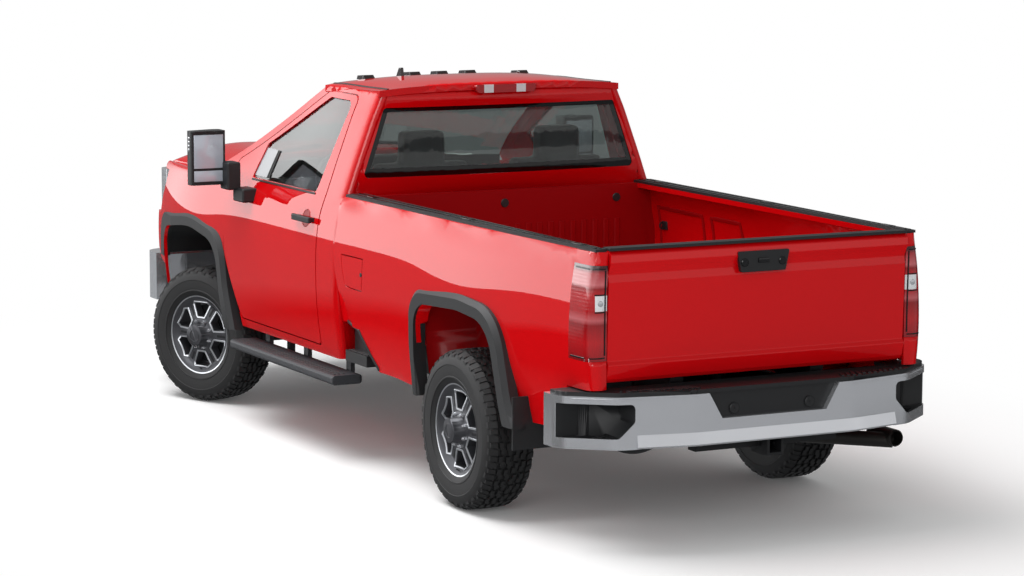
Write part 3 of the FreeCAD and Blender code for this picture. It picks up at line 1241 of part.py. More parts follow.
def make_tailgate():
    """Tailgate pressing with its lip, hollow and lower ledge, and its cap and handle."""
    face = box_rear_x
    top, foot = S.tailgate_top, S.tailgate_bottom
    tall = top - foot
    lip = S.tailgate_lip
    profile_shares = ((0.35, 1.0), (-0.85, 0.97), (-1.0, 0.91), (-0.2, 0.865), (0.45, 0.82), (0.1, 0.76))
    points = [(face + lip * out, foot + tall * up) for out, up in profile_shares]
    low_face = face + S.tailgate_lean * 0.6
    points += [
        (low_face, foot + tall * 0.165), (low_face - lip * 0.7, foot + tall * 0.135),
        (face + S.tailgate_lean * 0.8, foot + tall * 0.03), (face + S.tailgate_lean * 1.4, foot),
        (face + S.tailgate_thick, foot), (face + S.tailgate_thick, top),
    ]
    radii = [S.skin / 3] * len(points)
    gate = side_prism(points, -S.tailgate_half, S.tailgate_half, radii)
    keep("tailgate", gate)
    cap = block(Vector(face - lip / 2, -S.tailgate_half, top + S.fit),
                Vector(face + S.tailgate_thick, S.tailgate_half, top + S.cap_thick))
    grip_y = 145 / 827 * S.tailgate_half
    grip_z = foot + tall * 0.86
    grip_half = tall * 0.08
    grip = end_prism([(-grip_y * 0.85, grip_z - grip_half), (-grip_y, grip_z + grip_half),
                      (grip_y, grip_z + grip_half), (grip_y * 0.85, grip_z - grip_half)],
                     face - lip * 1.25, face - lip * 0.2, S.skin / 3)
    grip = grip.cut(gate)
    keep("tailgate_trim", Part.makeCompound([cap, max(grip.Solids, key=lambda solid: solid.Volume)]))


def bumper_plan(inset):
    """Plan outline of the rear bumper, drawn in by inset."""
    corner_x = rear_x - S.bumper_corner_reach
    face = S.hitch_pin_radius - S.overall_length / 2 + inset
    half = [
        (corner_x, S.bumper_half - inset),
        (corner_x - S.bumper_side_length, S.bumper_half - inset),
        (face + S.bumper_knee_reach, S.bumper_knee_half - inset),
        (face, S.bumper_mid_half),
    ]
    return half + [(x, -y) for x, y in reversed(half)]


BUMPER_RADII_SHARES = (0, 2.4, 3.5, 4.5, 4.5, 3.5, 2.4, 0)


def bumper_prism(inset, low, high):
    """Rear bumper's plan, drawn in by inset, carried up from low to high."""
    return plan_prism(bumper_plan(inset), low, high, [S.bumper_wall * share for share in BUMPER_RADII_SHARES])


def pocket_prism(grow):
    """End view of the left corner pocket, carried along the truck and grown by grow."""
    inner = S.pocket_inner_half - grow
    low = S.pocket_low - grow
    outline = [
        (inner, S.pocket_high + grow), (inner, low + S.pocket_slant), (inner + S.pocket_slant, low),
        (S.bumper_half + S.cut_over, low), (S.bumper_half + S.cut_over, S.pocket_high + grow),
    ]
    front = rear_x - S.bumper_corner_reach - S.pocket_end_reach + grow
    return end_prism(outline, -S.overall_length / 2 - S.cut_over, front,
                     [S.skin, S.skin, S.skin, 0, 0])


def make_rear_bumper():
    """Chromed step bumper: wrapped section with corner pockets and a licence recess, and its black linings."""
    rear = -S.overall_length / 2
    mid_face = rear + S.hitch_pin_radius
    corner_x = rear_x - S.bumper_corner_reach
    over = S.cut_over
    solid = bumper_prism(0, S.bumper_low, S.bumper_top)
    solid = solid.cut(bumper_prism(S.bumper_wall, S.bumper_low - over, S.bumper_top - S.bumper_shelf))
    under = [
        (-S.bumper_half - over, S.bumper_low), (-S.pocket_inner_half, S.bumper_low),
        (-S.plate_recess_half_low, S.bumper_low_middle), (S.plate_recess_half_low, S.bumper_low_middle),
        (S.pocket_inner_half, S.bumper_low), (S.bumper_half + over, S.bumper_low),
        (S.bumper_half + over, S.bumper_low - over), (-S.bumper_half - over, S.bumper_low - over),
    ]
    solid = solid.cut(end_prism(under, rear - over, corner_x + over))
    hollow_x = box_rear_x + S.shelf_reach
    open_front = block(Vector(hollow_x, -S.bumper_half + S.bumper_wall, S.bumper_low - over),
                       Vector(corner_x + over, S.bumper_half - S.bumper_wall, S.bumper_top + over))
    solid = solid.cut(open_front)
    recess = [
        (-S.plate_recess_half_low, S.plate_recess_low), (-S.plate_recess_half_top, S.bumper_top + over),
        (S.plate_recess_half_top, S.bumper_top + over), (S.plate_recess_half_low, S.plate_recess_low),
    ]
    solid = solid.cut(end_prism(recess, rear - over, mid_face + S.recess_depth))
    panel = end_prism(recess, mid_face + S.recess_depth / 2, mid_face + S.recess_depth)
    panel = panel.common(block(Vector(mid_face, -S.bumper_half, 0),
                               Vector(mid_face + S.recess_depth, S.bumper_half, S.bumper_top)))
    ring = bumper_prism(-over, S.bumper_low, S.bumper_top).cut(
        bumper_prism(S.pocket_depth, S.bumper_low - over, S.bumper_top + over))
    outer_ring = bumper_prism(S.pad_wall / 2, S.bumper_low, S.bumper_top - S.pad_wall).cut(
        bumper_prism(S.pocket_depth + S.pad_wall, S.bumper_low - over, S.bumper_top + over))
    pocket = pocket_prism(0).common(ring)
    lining = pocket_prism(S.pad_wall).common(outer_ring).cut(pocket)
    lining = max(lining.Solids, key=lambda part: part.Volume)
    room = pocket_prism(S.pad_wall + S.fit).common(outer_ring)
    for sign in (1, -1):
        tools = [pocket, room] if sign > 0 else [pocket.mirror(ORIGIN, Y_AXIS), room.mirror(ORIGIN, Y_AXIS)]
        for tool in tools:
            solid = solid.cut(tool)
    keep("rear_bumper", max(solid.Solids, key=lambda part: part.Volume))
    pads = bumper_prism(S.pad_inset, S.bumper_top + S.fit, S.bumper_top + S.pad_thick)
    post_inner = S.tailgate_half - S.cut_over
    pads = pads.cut(block(Vector(hollow_x, -post_inner, S.bumper_top - over),
                          Vector(corner_x + over, post_inner, S.bumper_top + over)))
    notch_x = box_rear_x + S.side_notch_reach - S.pad_inset
    pads = pads.cut(block(Vector(notch_x, -S.bumper_half, S.bumper_top - over),
                          Vector(corner_x + over, S.bumper_half, S.bumper_top + over)))
    pads = max(pads.Solids, key=lambda part: part.Volume)
    keep("bumper_pads", Part.makeCompound([pads, panel, lining, lining.mirror(ORIGIN, Y_AXIS)]))


def make_frame():
    """Ladder frame with kick-up, cross members and the hitch receiver."""
    rear = box_rear_x + S.frame_end
    front = front_x + S.fender_front_reach - S.wall
    kick_top = rear_x + S.wheelhouse_half + S.frame_width
    kick_foot = kick_top + S.frame_kick
    rise = door_front_x + S.cowl_reach
    deep = S.frame_depth
    lower = [
        (rear, S.frame_rear_low), (kick_top, S.frame_rear_low), (kick_foot, S.frame_mid_low),
        (door_front_x - S.cowl_reach, S.frame_mid_low), (rise + S.cowl_reach, S.frame_front_low),
        (front, S.frame_front_low),
    ]
    upper = [(x, z + deep) for x, z in reversed(lower)]
    rail = side_prism(lower + upper, S.frame_half - S.frame_width, S.frame_half, S.cross_height)
    members = []
    inner = S.frame_half - S.frame_width / 2
    levels = (
        (rear, S.frame_rear_low + deep - S.cross_height),
        (rear_x - S.spring_span / 2, S.frame_rear_low + deep - S.cross_height),
        (kick_top - S.cross_member, S.frame_rear_low + deep - S.cross_height),
        (cab_x + S.rear_pillar, S.frame_mid_low + deep - S.cross_height),
        (front_x + S.engine_front + S.cross_member * 2, S.frame_front_low + S.cross_height / 2),
    )
    for x, low in levels:
        members.append(block(Vector(x, -inner, low), Vector(x + S.cross_member, inner, low + S.cross_height)))
    mouth = -S.overall_length / 2
    half = S.hitch_outer / 2
    tube = block(Vector(mouth, -half, S.hitch_height - half), Vector(mouth + S.hitch_length, half, S.hitch_height + half))
    bore = block(Vector(mouth - S.cut_over, -S.hitch_bore / 2, S.hitch_height - S.hitch_bore / 2),
                 Vector(mouth + S.hitch_length - S.skin, S.hitch_bore / 2, S.hitch_height + S.hitch_bore / 2))
    plate_x = mouth + S.hitch_pin_radius + S.recess_depth + S.fit
    beam_x = mouth + S.hitch_length - S.hitch_beam
    arm_half = S.frame_half - S.frame_width / 2
    beam = block(Vector(beam_x, -arm_half, S.hitch_beam_low),
                 Vector(beam_x + S.hitch_beam, arm_half, S.hitch_plate_low + S.pad_thick))
    joined = fuse([rail, rail.mirror(ORIGIN, Y_AXIS)] + members)
    pin = Part.makeCylinder(S.hitch_pin_radius, S.hitch_outer * 2,
                            Vector(mouth + S.hitch_pin_reach, -S.hitch_outer, S.hitch_height), Y_AXIS)
    hitch = fuse([tube, beam]).cut(bore).cut(pin)
    plates = []
    plate_end = rear + S.frame_end
    for sign in (1, -1):
        inner_y = S.frame_half - S.frame_width
        plate = [
            (plate_x, S.hitch_plate_low), (plate_x, S.bumper_top - S.bumper_shelf - S.fit),
            (box_rear_x + S.shelf_reach + S.skin / 4, S.bumper_top - S.bumper_shelf - S.fit),
            (rear, S.frame_rear_low + deep / 4), (plate_end, S.frame_rear_low + deep / 4),
            (plate_end, S.frame_rear_low - S.skin), (rear, S.hitch_plate_low),
        ]
        plates.append(side_prism(plate, sign * (inner_y + S.fit), sign * S.frame_half))
    frame = fuse([joined, hitch] + plates)
    member_x = cab_x + S.rear_pillar
    frame = frame.cut(shaft_room(member_x)).cut(pipe_room(member_x))
    keep("frame", frame)


def shaft_room(member_x):
    """Clearance for the driveshaft below the cross member under the cab."""
    start, end = shaft_ends()
    share = (member_x - start.x) / (end.x - start.x)
    centre = start + (end - start) * share
    along = (end - start).normalize()
    return Part.makeCylinder(S.shaft_radius + S.skin / 2, 4 * S.cross_member,
                             centre - along * S.cross_member * 2, along)


def pipe_room(member_x):
    """Clearance for the exhaust pipe below the cross member under the cab."""
    start, end = front_pipe_ends()
    share = (member_x - start.x) / (end.x - start.x)
    centre = start + (end - start) * share
    along = (end - start).normalize()
    return Part.makeCylinder(S.pipe_radius + S.skin / 2, 4 * S.cross_member,
                             centre - along * S.cross_member * 2, along)


def shaft_ends():
    """Ends of the driveshaft, at the differential and at the gearbox."""
    gearbox_rear = front_x + S.engine_front - S.engine_length - S.gearbox_length
    end = Vector(gearbox_rear - S.fit, 0, (S.gearbox_low + S.gearbox_high) / 2)
    return Vector(rear_x + S.diff_radius * 0.9, 0, axle_z), end


def front_pipe_ends():
    """Ends of the exhaust's front pipe, at the muffler and below the toe board."""
    y = -(S.frame_half - S.frame_width - S.muffler_radius - S.skin)
    start = Vector(cab_x - S.rear_pillar - S.skin, y, S.tank_low + S.muffler_radius / 2)
    return start, Vector(door_front_x, y, S.gearbox_low + S.muffler_radius / 2)


def make_engine():
    """Engine as one plain block with its gearbox."""
    front = front_x + S.engine_front
    rear = front - S.engine_length
    engine = block(Vector(rear, -S.engine_half, S.engine_low), Vector(front, S.engine_half, S.engine_high))
    box = block(Vector(rear - S.gearbox_length, -S.gearbox_half, S.gearbox_low),
                Vector(rear + S.wall, S.gearbox_half, S.gearbox_high))
    neck = block(Vector(rear - S.wall, -S.gearbox_half, S.gearbox_low),
                 Vector(rear + S.wall, S.gearbox_half, S.engine_low + S.wall))
    mount_x = (front + rear) / 2
    mount_half = S.frame_half - S.frame_width - S.fit
    mount = block(Vector(mount_x - S.wall, -mount_half, S.engine_low),
                  Vector(mount_x + S.wall, mount_half, S.engine_low + S.wall))
    keep("engine", fuse([engine, box, neck, mount]))


def make_front_face(hood_space):
    """Grille with its shroud and radiator, headlamps and front bumper."""
    face = front_x + S.grille_reach
    half = S.grille_half
    grille_low = S.front_bumper_high + S.fit
    shell = block(Vector(face - S.grille_depth, -half, grille_low), Vector(face, half, S.grille_high))
    inner = block(Vector(face - S.grille_depth - S.cut_over, -half + S.grille_border, grille_low + S.grille_border),
                  Vector(face + S.cut_over, half - S.grille_border, S.grille_high - S.grille_border))
    bars = []
    pitch = (S.grille_high - grille_low - 2 * S.grille_border) / (S.grille_bars + 1)
    for index in range(int(S.grille_bars)):
        level = grille_low + S.grille_border + pitch * (index + 1)
        bars.append(block(Vector(face - S.grille_depth / 2, -half + S.grille_border / 2, level - S.grille_bar / 2),
                          Vector(face - S.grille_bar / 2, half - S.grille_border / 2, level + S.grille_bar / 2)))
    core = block(Vector(face - S.grille_depth, -half + S.grille_border / 2, grille_low + S.grille_border / 2),
                 Vector(face - S.grille_depth + S.radiator_depth, half - S.grille_border / 2,
                        S.grille_high - S.grille_border / 2))
    lamp_rear = front_x + S.fender_front_reach - 2 * S.wall + S.fit
    side_points = [
        (lamp_rear + S.wall * 2, S.head_half), (face - S.skin, half + S.wall), (face - S.skin, half - S.skin),
        (lamp_rear + S.wall, half - S.skin), (lamp_rear + S.wall, S.head_half - S.skin),
    ]
    fascia = plan_prism(side_points, grille_low, S.head_low, [S.wall / 2, S.skin, 0, 0, 0])
    for node in nodes:
        if node.Label == "front_fenders":
            fascia = fascia.cut(node.Shape)
    fascia = max(fascia.Solids, key=lambda solid: solid.Volume)
    grille = fuse([shell.cut(inner), core, fascia, fascia.mirror(ORIGIN, Y_AXIS)] + bars).cut(hood_space)
    keep("grille", max(grille.Solids, key=lambda solid: solid.Volume))
    lamp_points = [
        (lamp_rear, S.head_half), (front_x + S.fender_front_reach, S.head_half - S.skin / 2),
        (face - S.skin, half + S.wall), (face - S.skin, half + S.fit), (lamp_rear, half + S.fit),
    ]
    lamp = plan_prism(lamp_points, S.head_low + S.fit, S.head_high - S.fit, S.skin).cut(hood_space)
    for node in nodes:
        if node.Label == "front_fenders":
            lamp = lamp.cut(node.Shape)
    keep("headlamps", both_sides(max(lamp.Solids, key=lambda solid: solid.Volume)))
    nose = S.overall_length / 2
    deep = S.front_bumper_wall

    def plan(inset):
        wide = S.front_bumper_half - inset
        return [
            (nose - S.front_bumper_wrap, wide), (nose - S.front_bumper_wrap * 0.45, wide),
            (nose - S.front_bumper_wrap * 0.12 - inset, wide * 0.76), (nose - inset, wide * 0.45),
            (nose - inset, -wide * 0.45), (nose - S.front_bumper_wrap * 0.12 - inset, -wide * 0.76),
            (nose - S.front_bumper_wrap * 0.45, -wide), (nose - S.front_bumper_wrap, -wide),
        ]
    radii = [0] + [S.front_bumper_wrap / 2] * 6 + [0]
    solid = plan_prism(plan(0), S.front_bumper_low, S.front_bumper_high, radii)
    inner_points = plan(deep)
    inner_points[0] = (inner_points[0][0] - S.cut_over, inner_points[0][1])
    inner_points[-1] = (inner_points[-1][0] - S.cut_over, inner_points[-1][1])
    hollow = plan_prism(inner_points, S.front_bumper_low - S.cut_over, S.front_bumper_high - S.skin / 2, radii)
    bumper = solid.cut(hollow)
    stays = [
        block(Vector(front_x + S.fender_front_reach - S.wall + S.fit, sign * S.frame_half - S.frame_width * (sign > 0),
                     S.frame_front_low + S.skin),
              Vector(nose - deep / 2, sign * S.frame_half + S.frame_width * (sign < 0),
                     S.frame_front_low + S.frame_depth - S.skin))
        for sign in (1, -1)
    ]
    bumper = fuse([bumper] + stays)
    for node in nodes:
        if node.Label in ("front_fenders", "grille", "headlamps"):
            bumper = bumper.cut(node.Shape)
    keep("front_bumper", max(bumper.Solids, key=lambda solid: solid.Volume))


def make_running_boards():
    """Running boards on brackets."""
    rear = box_front_x - S.board_rear
    length = door_front_x - S.board_front - rear
    board = block(Vector(rear, S.board_inner, S.board_low),
                  Vector(rear + length, S.board_outer, S.board_low + S.board_thick))
    board = board.makeFillet(S.board_thick / 3, [edge for edge in board.Edges if edge.Length > S.board_thick * 4])
    brackets = []
    for share in (0.1, 0.5, 0.88):
        x = rear + length * share
        brackets.append(block(Vector(x, S.rocker_half - S.wall - S.sill_width / 4, S.board_low + S.board_thick / 3),
                              Vector(x + S.board_bracket, S.board_inner + S.board_bracket,
                                     S.board_low + S.board_thick * 0.8)))
        brackets.append(block(Vector(x, S.rocker_half - S.wall - S.sill_width / 4, S.board_low + S.board_thick / 3),
                              Vector(x + S.board_bracket, S.rocker_half - S.wall, S.rocker_height - S.fit)))
    keep("running_boards", both_sides(fuse([board] + brackets)))


def make_rear_axle():
    """Rear axle with its differential, brake discs, leaf springs and driveshaft."""
    hub = S.track / 2 + S.hub_face - S.fit
    tube = Part.makeCylinder(S.axle_radius, 2 * hub, Vector(rear_x, -hub, axle_z), Y_AXIS)
    ball = Part.makeSphere(S.diff_radius, Vector(rear_x, 0, axle_z))
    slice_box = block(Vector(rear_x - S.diff_radius, -S.diff_width / 2, axle_z - S.diff_radius - S.fit),
                      Vector(rear_x + S.diff_radius, S.diff_width / 2, axle_z + S.diff_radius + S.fit))
    parts = [tube, ball.common(slice_box)]
    for sign in (1, -1):
        disc_low = min(sign * hub, sign * (hub - S.drum_width))
        parts.append(Part.makeCylinder(S.drum_radius, S.drum_width, Vector(rear_x, disc_low, axle_z), Y_AXIS))
        span_half = S.spring_span
        top = axle_z + S.axle_radius - S.spring_thick / 4
        arc = Part.Arc(Vector(rear_x - span_half, 0, top + S.spring_sag), Vector(rear_x, 0, top),
                       Vector(rear_x + span_half, 0, top + S.spring_sag)).toShape()
        upper = Part.Arc(Vector(rear_x - span_half, 0, top + S.spring_sag + S.spring_thick / 2),
                         Vector(rear_x, 0, top + S.spring_thick),
                         Vector(rear_x + span_half, 0, top + S.spring_sag + S.spring_thick / 2)).toShape()
        ends = [Part.LineSegment(Vector(rear_x + end * span_half, 0, top + S.spring_sag),
                                 Vector(rear_x + end * span_half, 0, top + S.spring_sag + S.spring_thick / 2)).toShape()
                for end in (-1, 1)]
        face = Part.Face(Part.Wire(Part.sortEdges([arc, upper] + ends)[0]))
        start = sign * S.spring_half - S.spring_width / 2
        leaf = face.translated(Vector(0, start, 0)).extrude(Vector(0, S.spring_width, 0))
        parts.append(leaf)
        for end in (-1, 1):
            x = rear_x + end * (span_half - S.spring_width / 2)
            low_y, high_y = sorted((sign * (S.frame_half + S.fit), sign * (S.spring_half + S.spring_width / 2)))
            parts.append(block(Vector(x - S.spring_width / 2, low_y, top + S.spring_sag - S.spring_thick),
                               Vector(x + S.spring_width / 2, high_y, S.frame_rear_low + S.frame_depth / 2)))
    shaft_start, shaft_end = shaft_ends()
    shaft = Part.makeCylinder(S.shaft_radius, (shaft_end - shaft_start).Length, shaft_start, shaft_end - shaft_start)
    shaft = shaft.common(block(Vector(rear_x, -S.wall, 0), Vector(shaft_end.x, S.wall, S.roof_height)))
    keep("rear_axle", fuse(parts + [shaft]))


def kingpin_place(sign):
    """Place of the steering axis and the turn of the front wheel about it."""
    return Placement(Vector(front_x, sign * S.kingpin_half, axle_z), Rotation(Z_AXIS, S.steer_rest))


def make_knuckles():
    """Front knuckles with hub, brake disc and steering arm, turned with the wheels."""
    upright = Part.makeCylinder(S.knuckle_radius, 2 * S.knuckle_half, Vector(0, 0, -S.knuckle_half), Z_AXIS)
    out = S.track / 2 - S.kingpin_half
    hub = Part.makeCylinder(S.axle_radius, out + S.hub_face - S.fit, ORIGIN, Y_AXIS)
    disc = Part.makeCylinder(S.drum_radius, S.drum_width, Vector(0, out + S.hub_face - S.fit - S.drum_width, 0), Y_AXIS)
    arm_low = -S.steer_arm_low - S.steer_arm_thick
    arm = plan_prism([
        (S.knuckle_radius / 2, S.knuckle_radius * 0.8), (-S.steer_arm_back - S.tie_radius * 1.6, -S.steer_arm_in + S.tie_radius * 1.6),
        (-S.steer_arm_back - S.tie_radius * 1.6, -S.steer_arm_in - S.tie_radius * 1.6), (S.knuckle_radius / 2, -S.knuckle_radius * 0.8),
    ], arm_low, arm_low + S.steer_arm_thick, S.tie_radius)
    left = fuse([upright, hub, disc, arm])
    right = left.mirror(ORIGIN, Y_AXIS)
    for side, sign, shape in (("left", 1, left), ("right", -1, right)):
        piece = keep(f"knuckle_{side}", shape)
        piece.Placement = kingpin_place(sign)


def make_front_suspension():
    """Front differential, half shafts and the upper and lower arms that hold the knuckles."""
    parts = []
    level = S.knuckle_half + S.arm_thick / 2
    frame_face = S.frame_half + S.fit
    for sign in (1, -1):
        for way in (1, -1):
            z = axle_z + way * (S.knuckle_half + S.fit) + (0 if way > 0 else -S.arm_thick)
            inner_z = z
            points = [
                (front_x - S.arm_outer_half, sign * (S.kingpin_half + S.arm_outer_half)),
                (front_x + S.arm_outer_half, sign * (S.kingpin_half + S.arm_outer_half)),
                (front_x + S.arm_outer_half, sign * (S.kingpin_half - S.frame_half / 3)),
                (front_x + S.arm_inner_half, sign * frame_face),
                (front_x - S.arm_inner_half, sign * frame_face),
                (front_x - S.arm_outer_half, sign * (S.kingpin_half - S.frame_half / 3)),
            ]
            arm = plan_prism(points, inner_z, inner_z + S.arm_thick, S.arm_outer_half / 2)
            hole = plan_prism([
                (front_x + S.arm_outer_half / 2, sign * (S.kingpin_half - S.frame_half / 3)),
                (front_x + S.arm_inner_half - S.arm_outer_half * 1.4, sign * (frame_face + S.arm_outer_half)),
                (front_x - S.arm_inner_half + S.arm_outer_half * 1.4, sign * (frame_face + S.arm_outer_half)),
                (front_x - S.arm_outer_half / 2, sign * (S.kingpin_half - S.frame_half / 3)),
            ], inner_z - S.cut_over, inner_z + S.arm_thick + S.cut_over, S.arm_outer_half / 3)
            parts.append(arm.cut(hole))
            lug_low = min(z, S.frame_front_low + S.skin)
            lug_high = max(z + S.arm_thick, S.frame_front_low + S.cross_height)
            for end in (-1, 1):
                x = front_x + end * (S.arm_inner_half - S.arm_outer_half / 2)
                low_y, high_y = sorted((sign * frame_face, sign * (frame_face + S.arm_outer_half)))
                parts.append(block(Vector(x - S.arm_outer_half / 2, low_y, lug_low),
                                   Vector(x + S.arm_outer_half / 2, high_y, lug_high)))
    shaft = Part.makeCylinder(S.half_shaft_radius, 2 * S.half_shaft_reach,
                              Vector(front_x, -S.half_shaft_reach, axle_z), Y_AXIS)
    diff = Part.makeCylinder(S.front_diff_radius, S.engine_half, Vector(front_x, -S.engine_half / 2, axle_z), Y_AXIS)
    mount = block(Vector(front_x + S.front_diff_radius / 2, -(S.frame_half - S.frame_width - S.fit), axle_z),
                  Vector(front_x + S.front_diff_radius, S.frame_half - S.frame_width - S.fit, S.frame_front_low + S.cross_height))
    keep("front_suspension", fuse([fuse(parts), fuse([shaft, diff, mount])]))


def make_steering_linkage():
    """Centre link with its tie rods, whose outer eyes lie above the steering arms."""
    turn = Rotation(Z_AXIS, S.steer_rest)
    level = axle_z - S.steer_arm_low + S.tie_gap + S.tie_eye / 2
    ends = []
    for sign in (1, -1):
        arm = Vector(-S.steer_arm_back, -sign * S.steer_arm_in, 0)
        ends.append(Vector(front_x, sign * S.kingpin_half, level) + turn.multVec(arm))
    middle = (ends[0] + ends[1]) * 0.5
    link_start = Vector(middle.x, middle.y - S.rack_half, level)
    link = Part.makeCylinder(S.rack_radius, 2 * S.rack_half, link_start, Y_AXIS)
    rods = []
    for end in ends:
        near = Vector(middle.x, middle.y + math.copysign(S.rack_half - S.rack_radius, end.y), level)
        rods.append(Part.makeCylinder(S.tie_radius, (end - near).Length, near, end - near))
        eye_foot = Vector(end.x, end.y, level - S.tie_eye / 2)
        rods.append(Part.makeCylinder(S.tie_eye_radius, S.tie_eye, eye_foot, Z_AXIS))
    keep("steering_linkage", fuse([link] + rods))


def make_exhaust():
    """Exhaust pipe with its muffler, hanger and angled tip."""
    radius = S.pipe_radius
    front_start, front_end = front_pipe_ends()
    y = front_start.y
    level = front_start.z
    muffler_x = cab_x - S.rear_pillar
    muffler = Part.makeCylinder(S.muffler_radius, S.engine_length,
                                Vector(muffler_x - S.engine_length, y, level), X_AXIS)
    behind = rear_x - S.diff_radius
    points = [
        Vector(muffler_x - S.engine_length + S.skin, y, level),
        Vector(rear_x + S.diff_radius + S.wall * 2, y, level),
        Vector(rear_x + S.axle_radius, y, axle_z + S.axle_radius + S.wall + radius),
        Vector(behind - S.wall, y, S.tip_height + S.wall * 0.4),
        Vector(behind - S.wall * 3, y - S.wall, S.tip_height),
        Vector(rear_x - S.tip_reach, -S.tip_half, S.tip_height),
    ]
    pieces = [muffler]
    for start, end in zip(points[:-1], points[1:]):
        pieces.append(Part.makeCylinder(radius, (end - start).Length, start, end - start))
    for point in points[1:-1]:
        pieces.append(Part.makeSphere(radius, point))
    tip_way = (points[-1] - points[-2]).normalize()
    deep = S.muffler_radius * 2
    hollow = Part.makeCylinder(radius - S.pipe_wall, deep + S.cut_over, points[-1] - tip_way * deep, tip_way)
    pieces.append(Part.makeCylinder(radius, (front_end - front_start).Length, front_start, front_end - front_start))
    hanger_x = muffler_x - S.muffler_radius
    rail_face = -(S.frame_half - S.frame_width - S.fit)
    pieces.append(block(Vector(hanger_x - S.hanger, rail_face, level - S.hanger / 2),
                        Vector(hanger_x + S.hanger, y - S.muffler_radius / 2, level + S.hanger / 2)))
    keep("exhaust", fuse(pieces).cut(hollow))


def make_fuel_tank():
    """Fuel tank inside the left frame rail."""
    rear = cab_x - S.cab_box_gap - S.tank_length - S.wall
    outer = S.frame_half - S.frame_width - S.fit
    tank = block(Vector(rear, S.tank_inner, S.tank_low), Vector(rear + S.tank_length, outer, S.tank_high))
    keep("fuel_tank", tank.makeFillet(S.wall / 2, tank.Edges))


def make_spare():
    """Spare wheel slung flat below the box floor."""
    x = rear_x - S.spare_reach
    tyre = Part.makeCylinder(S.spare_radius, S.spare_width, Vector(x, 0, S.spare_low), Z_AXIS)
    tyre = tyre.makeFillet(S.spare_width / 6, [edge for edge in tyre.Edges if edge.Length > S.spare_radius * 3])
    bore = Part.makeCylinder(S.spare_bore, S.spare_width + 2 * S.cut_over, Vector(x, 0, S.spare_low - S.cut_over), Z_AXIS)
    disc = Part.makeCylinder(S.spare_bore + S.fit, S.lip_thick, Vector(x, 0, S.spare_low + S.spare_width / 2), Z_AXIS)
    winch = Part.makeCylinder(S.pipe_radius, S.frame_rear_low + S.frame_depth - S.spare_low - S.spare_width / 2,
                              Vector(x, 0, S.spare_low + S.spare_width / 2), Z_AXIS)
    keep("spare_wheel", fuse([tyre.cut(bore), disc, winch]))


def make_roof_lamps():
    """Five marker lamps and an antenna fin at the roof's front, and the high brake lamp at its rear."""
    pieces = []
    front_side = door_rear_x + S.pillar_top_reach
    for y in (-S.roof_lamp_outer, -S.roof_lamp_pitch, 0, S.roof_lamp_pitch, S.roof_lamp_outer):
        edge_x = front_side + S.roof_front_reach * (1 - (y / S.eave_half) ** 2)
        x = edge_x - S.roof_lamp_set - S.roof_lamp_length
        low = roof_level(x, y) - S.roof_lamp_height / 2
        outline = [(x, low), (x + S.roof_lamp_length, low), (x + S.roof_lamp_length * 0.9, low + S.roof_lamp_height),
                   (x + S.roof_lamp_length * 0.3, low + S.roof_lamp_height * 1.3)]
        lamp = side_prism(outline, y - S.roof_lamp_width / 2, y + S.roof_lamp_width / 2,
                          [0, 0, S.roof_lamp_height / 3, S.roof_lamp_height / 3])
        pieces.append(lamp)
    fin_x = front_side - S.roof_lamp_length / 2
    fin_y = S.fin_side
    base = roof_level(fin_x, fin_y) - S.roof_lamp_height
    fin = side_prism([(fin_x, base), (fin_x - S.fin_length, base),
                      (fin_x - S.fin_length * 0.85, base + S.roof_lamp_height + S.fin_height),
                      (fin_x - S.fin_length * 0.6, base + S.roof_lamp_height + S.fin_height)],
                     fin_y - S.skin / 3, fin_y + S.skin / 3, [0, 0, S.skin / 4, S.skin / 3])
    pieces.append(fin)
    roof = next(node.Shape for node in nodes if node.Label == "roof")
    seated = [max(piece.cut(roof).Solids, key=lambda solid: solid.Volume) for piece in pieces]
    low_half = S.brake_lamp_half - S.skin
    brake = end_prism([(-S.brake_lamp_half, S.brake_lamp_high), (S.brake_lamp_half, S.brake_lamp_high),
                       (low_half, S.brake_lamp_low), (-low_half, S.brake_lamp_low)],
                      cab_x - S.back_bow, cab_x - S.back_bow / 2 - S.fit, S.skin / 2)
    keep("roof_lamps", Part.makeCompound(seated + [brake]))


def outline_sketch(body, role, name, corners):
    """Sketch of a closed outline whose corners are held by sheet expressions."""
    plane = next(feature for feature in body.Origin.OriginFeatures if feature.Role == role)
    drawing = body.newObject("Sketcher::SketchObject", name)
    drawing.AttachmentSupport = (plane, [""])
    drawing.MapMode = "FlatFace"
    values = [(cell(a), cell(b)) for a, b in corners]
    count = len(values)
    for index, (a, b) in enumerate(values):
        after_a, after_b = values[(index + 1) % count]
        drawing.addGeometry(Part.LineSegment(Vector(a, b, 0), Vector(after_a, after_b, 0)), False)
    for index in range(count):
        drawing.addConstraint(Sketcher.Constraint("Coincident", index, 2, (index + 1) % count, 1))
    for index, ((a, b), (a_text, b_text)) in enumerate(zip(values, corners)):
        for kind, amount, text, axis in (("DistanceX", a, a_text, -2), ("DistanceY", b, b_text, -1)):
            if amount == 0:
                drawing.addConstraint(Sketcher.Constraint("PointOnObject", index, 1, axis))
            else:
                number = drawing.addConstraint(Sketcher.Constraint(kind, -1, 1, index, 1, amount))
                drawing.setExpression(f"Constraints[{number}]", text)
    return drawing


def revolved_body(name, corners):
    """Body turned about the Y axis from an outline of (radius, y) corners."""
    body = doc.addObject("PartDesign::Body", name)
    drawing = outline_sketch(body, "XY_Plane", name + "_section", corners)
    turned = body.newObject("PartDesign::Revolution", name + "_turned")
    turned.Profile = drawing
    turned.ReferenceAxis = (drawing, ["V_Axis"])
    turned.Angle = 360
    doc.recompute()
    return body


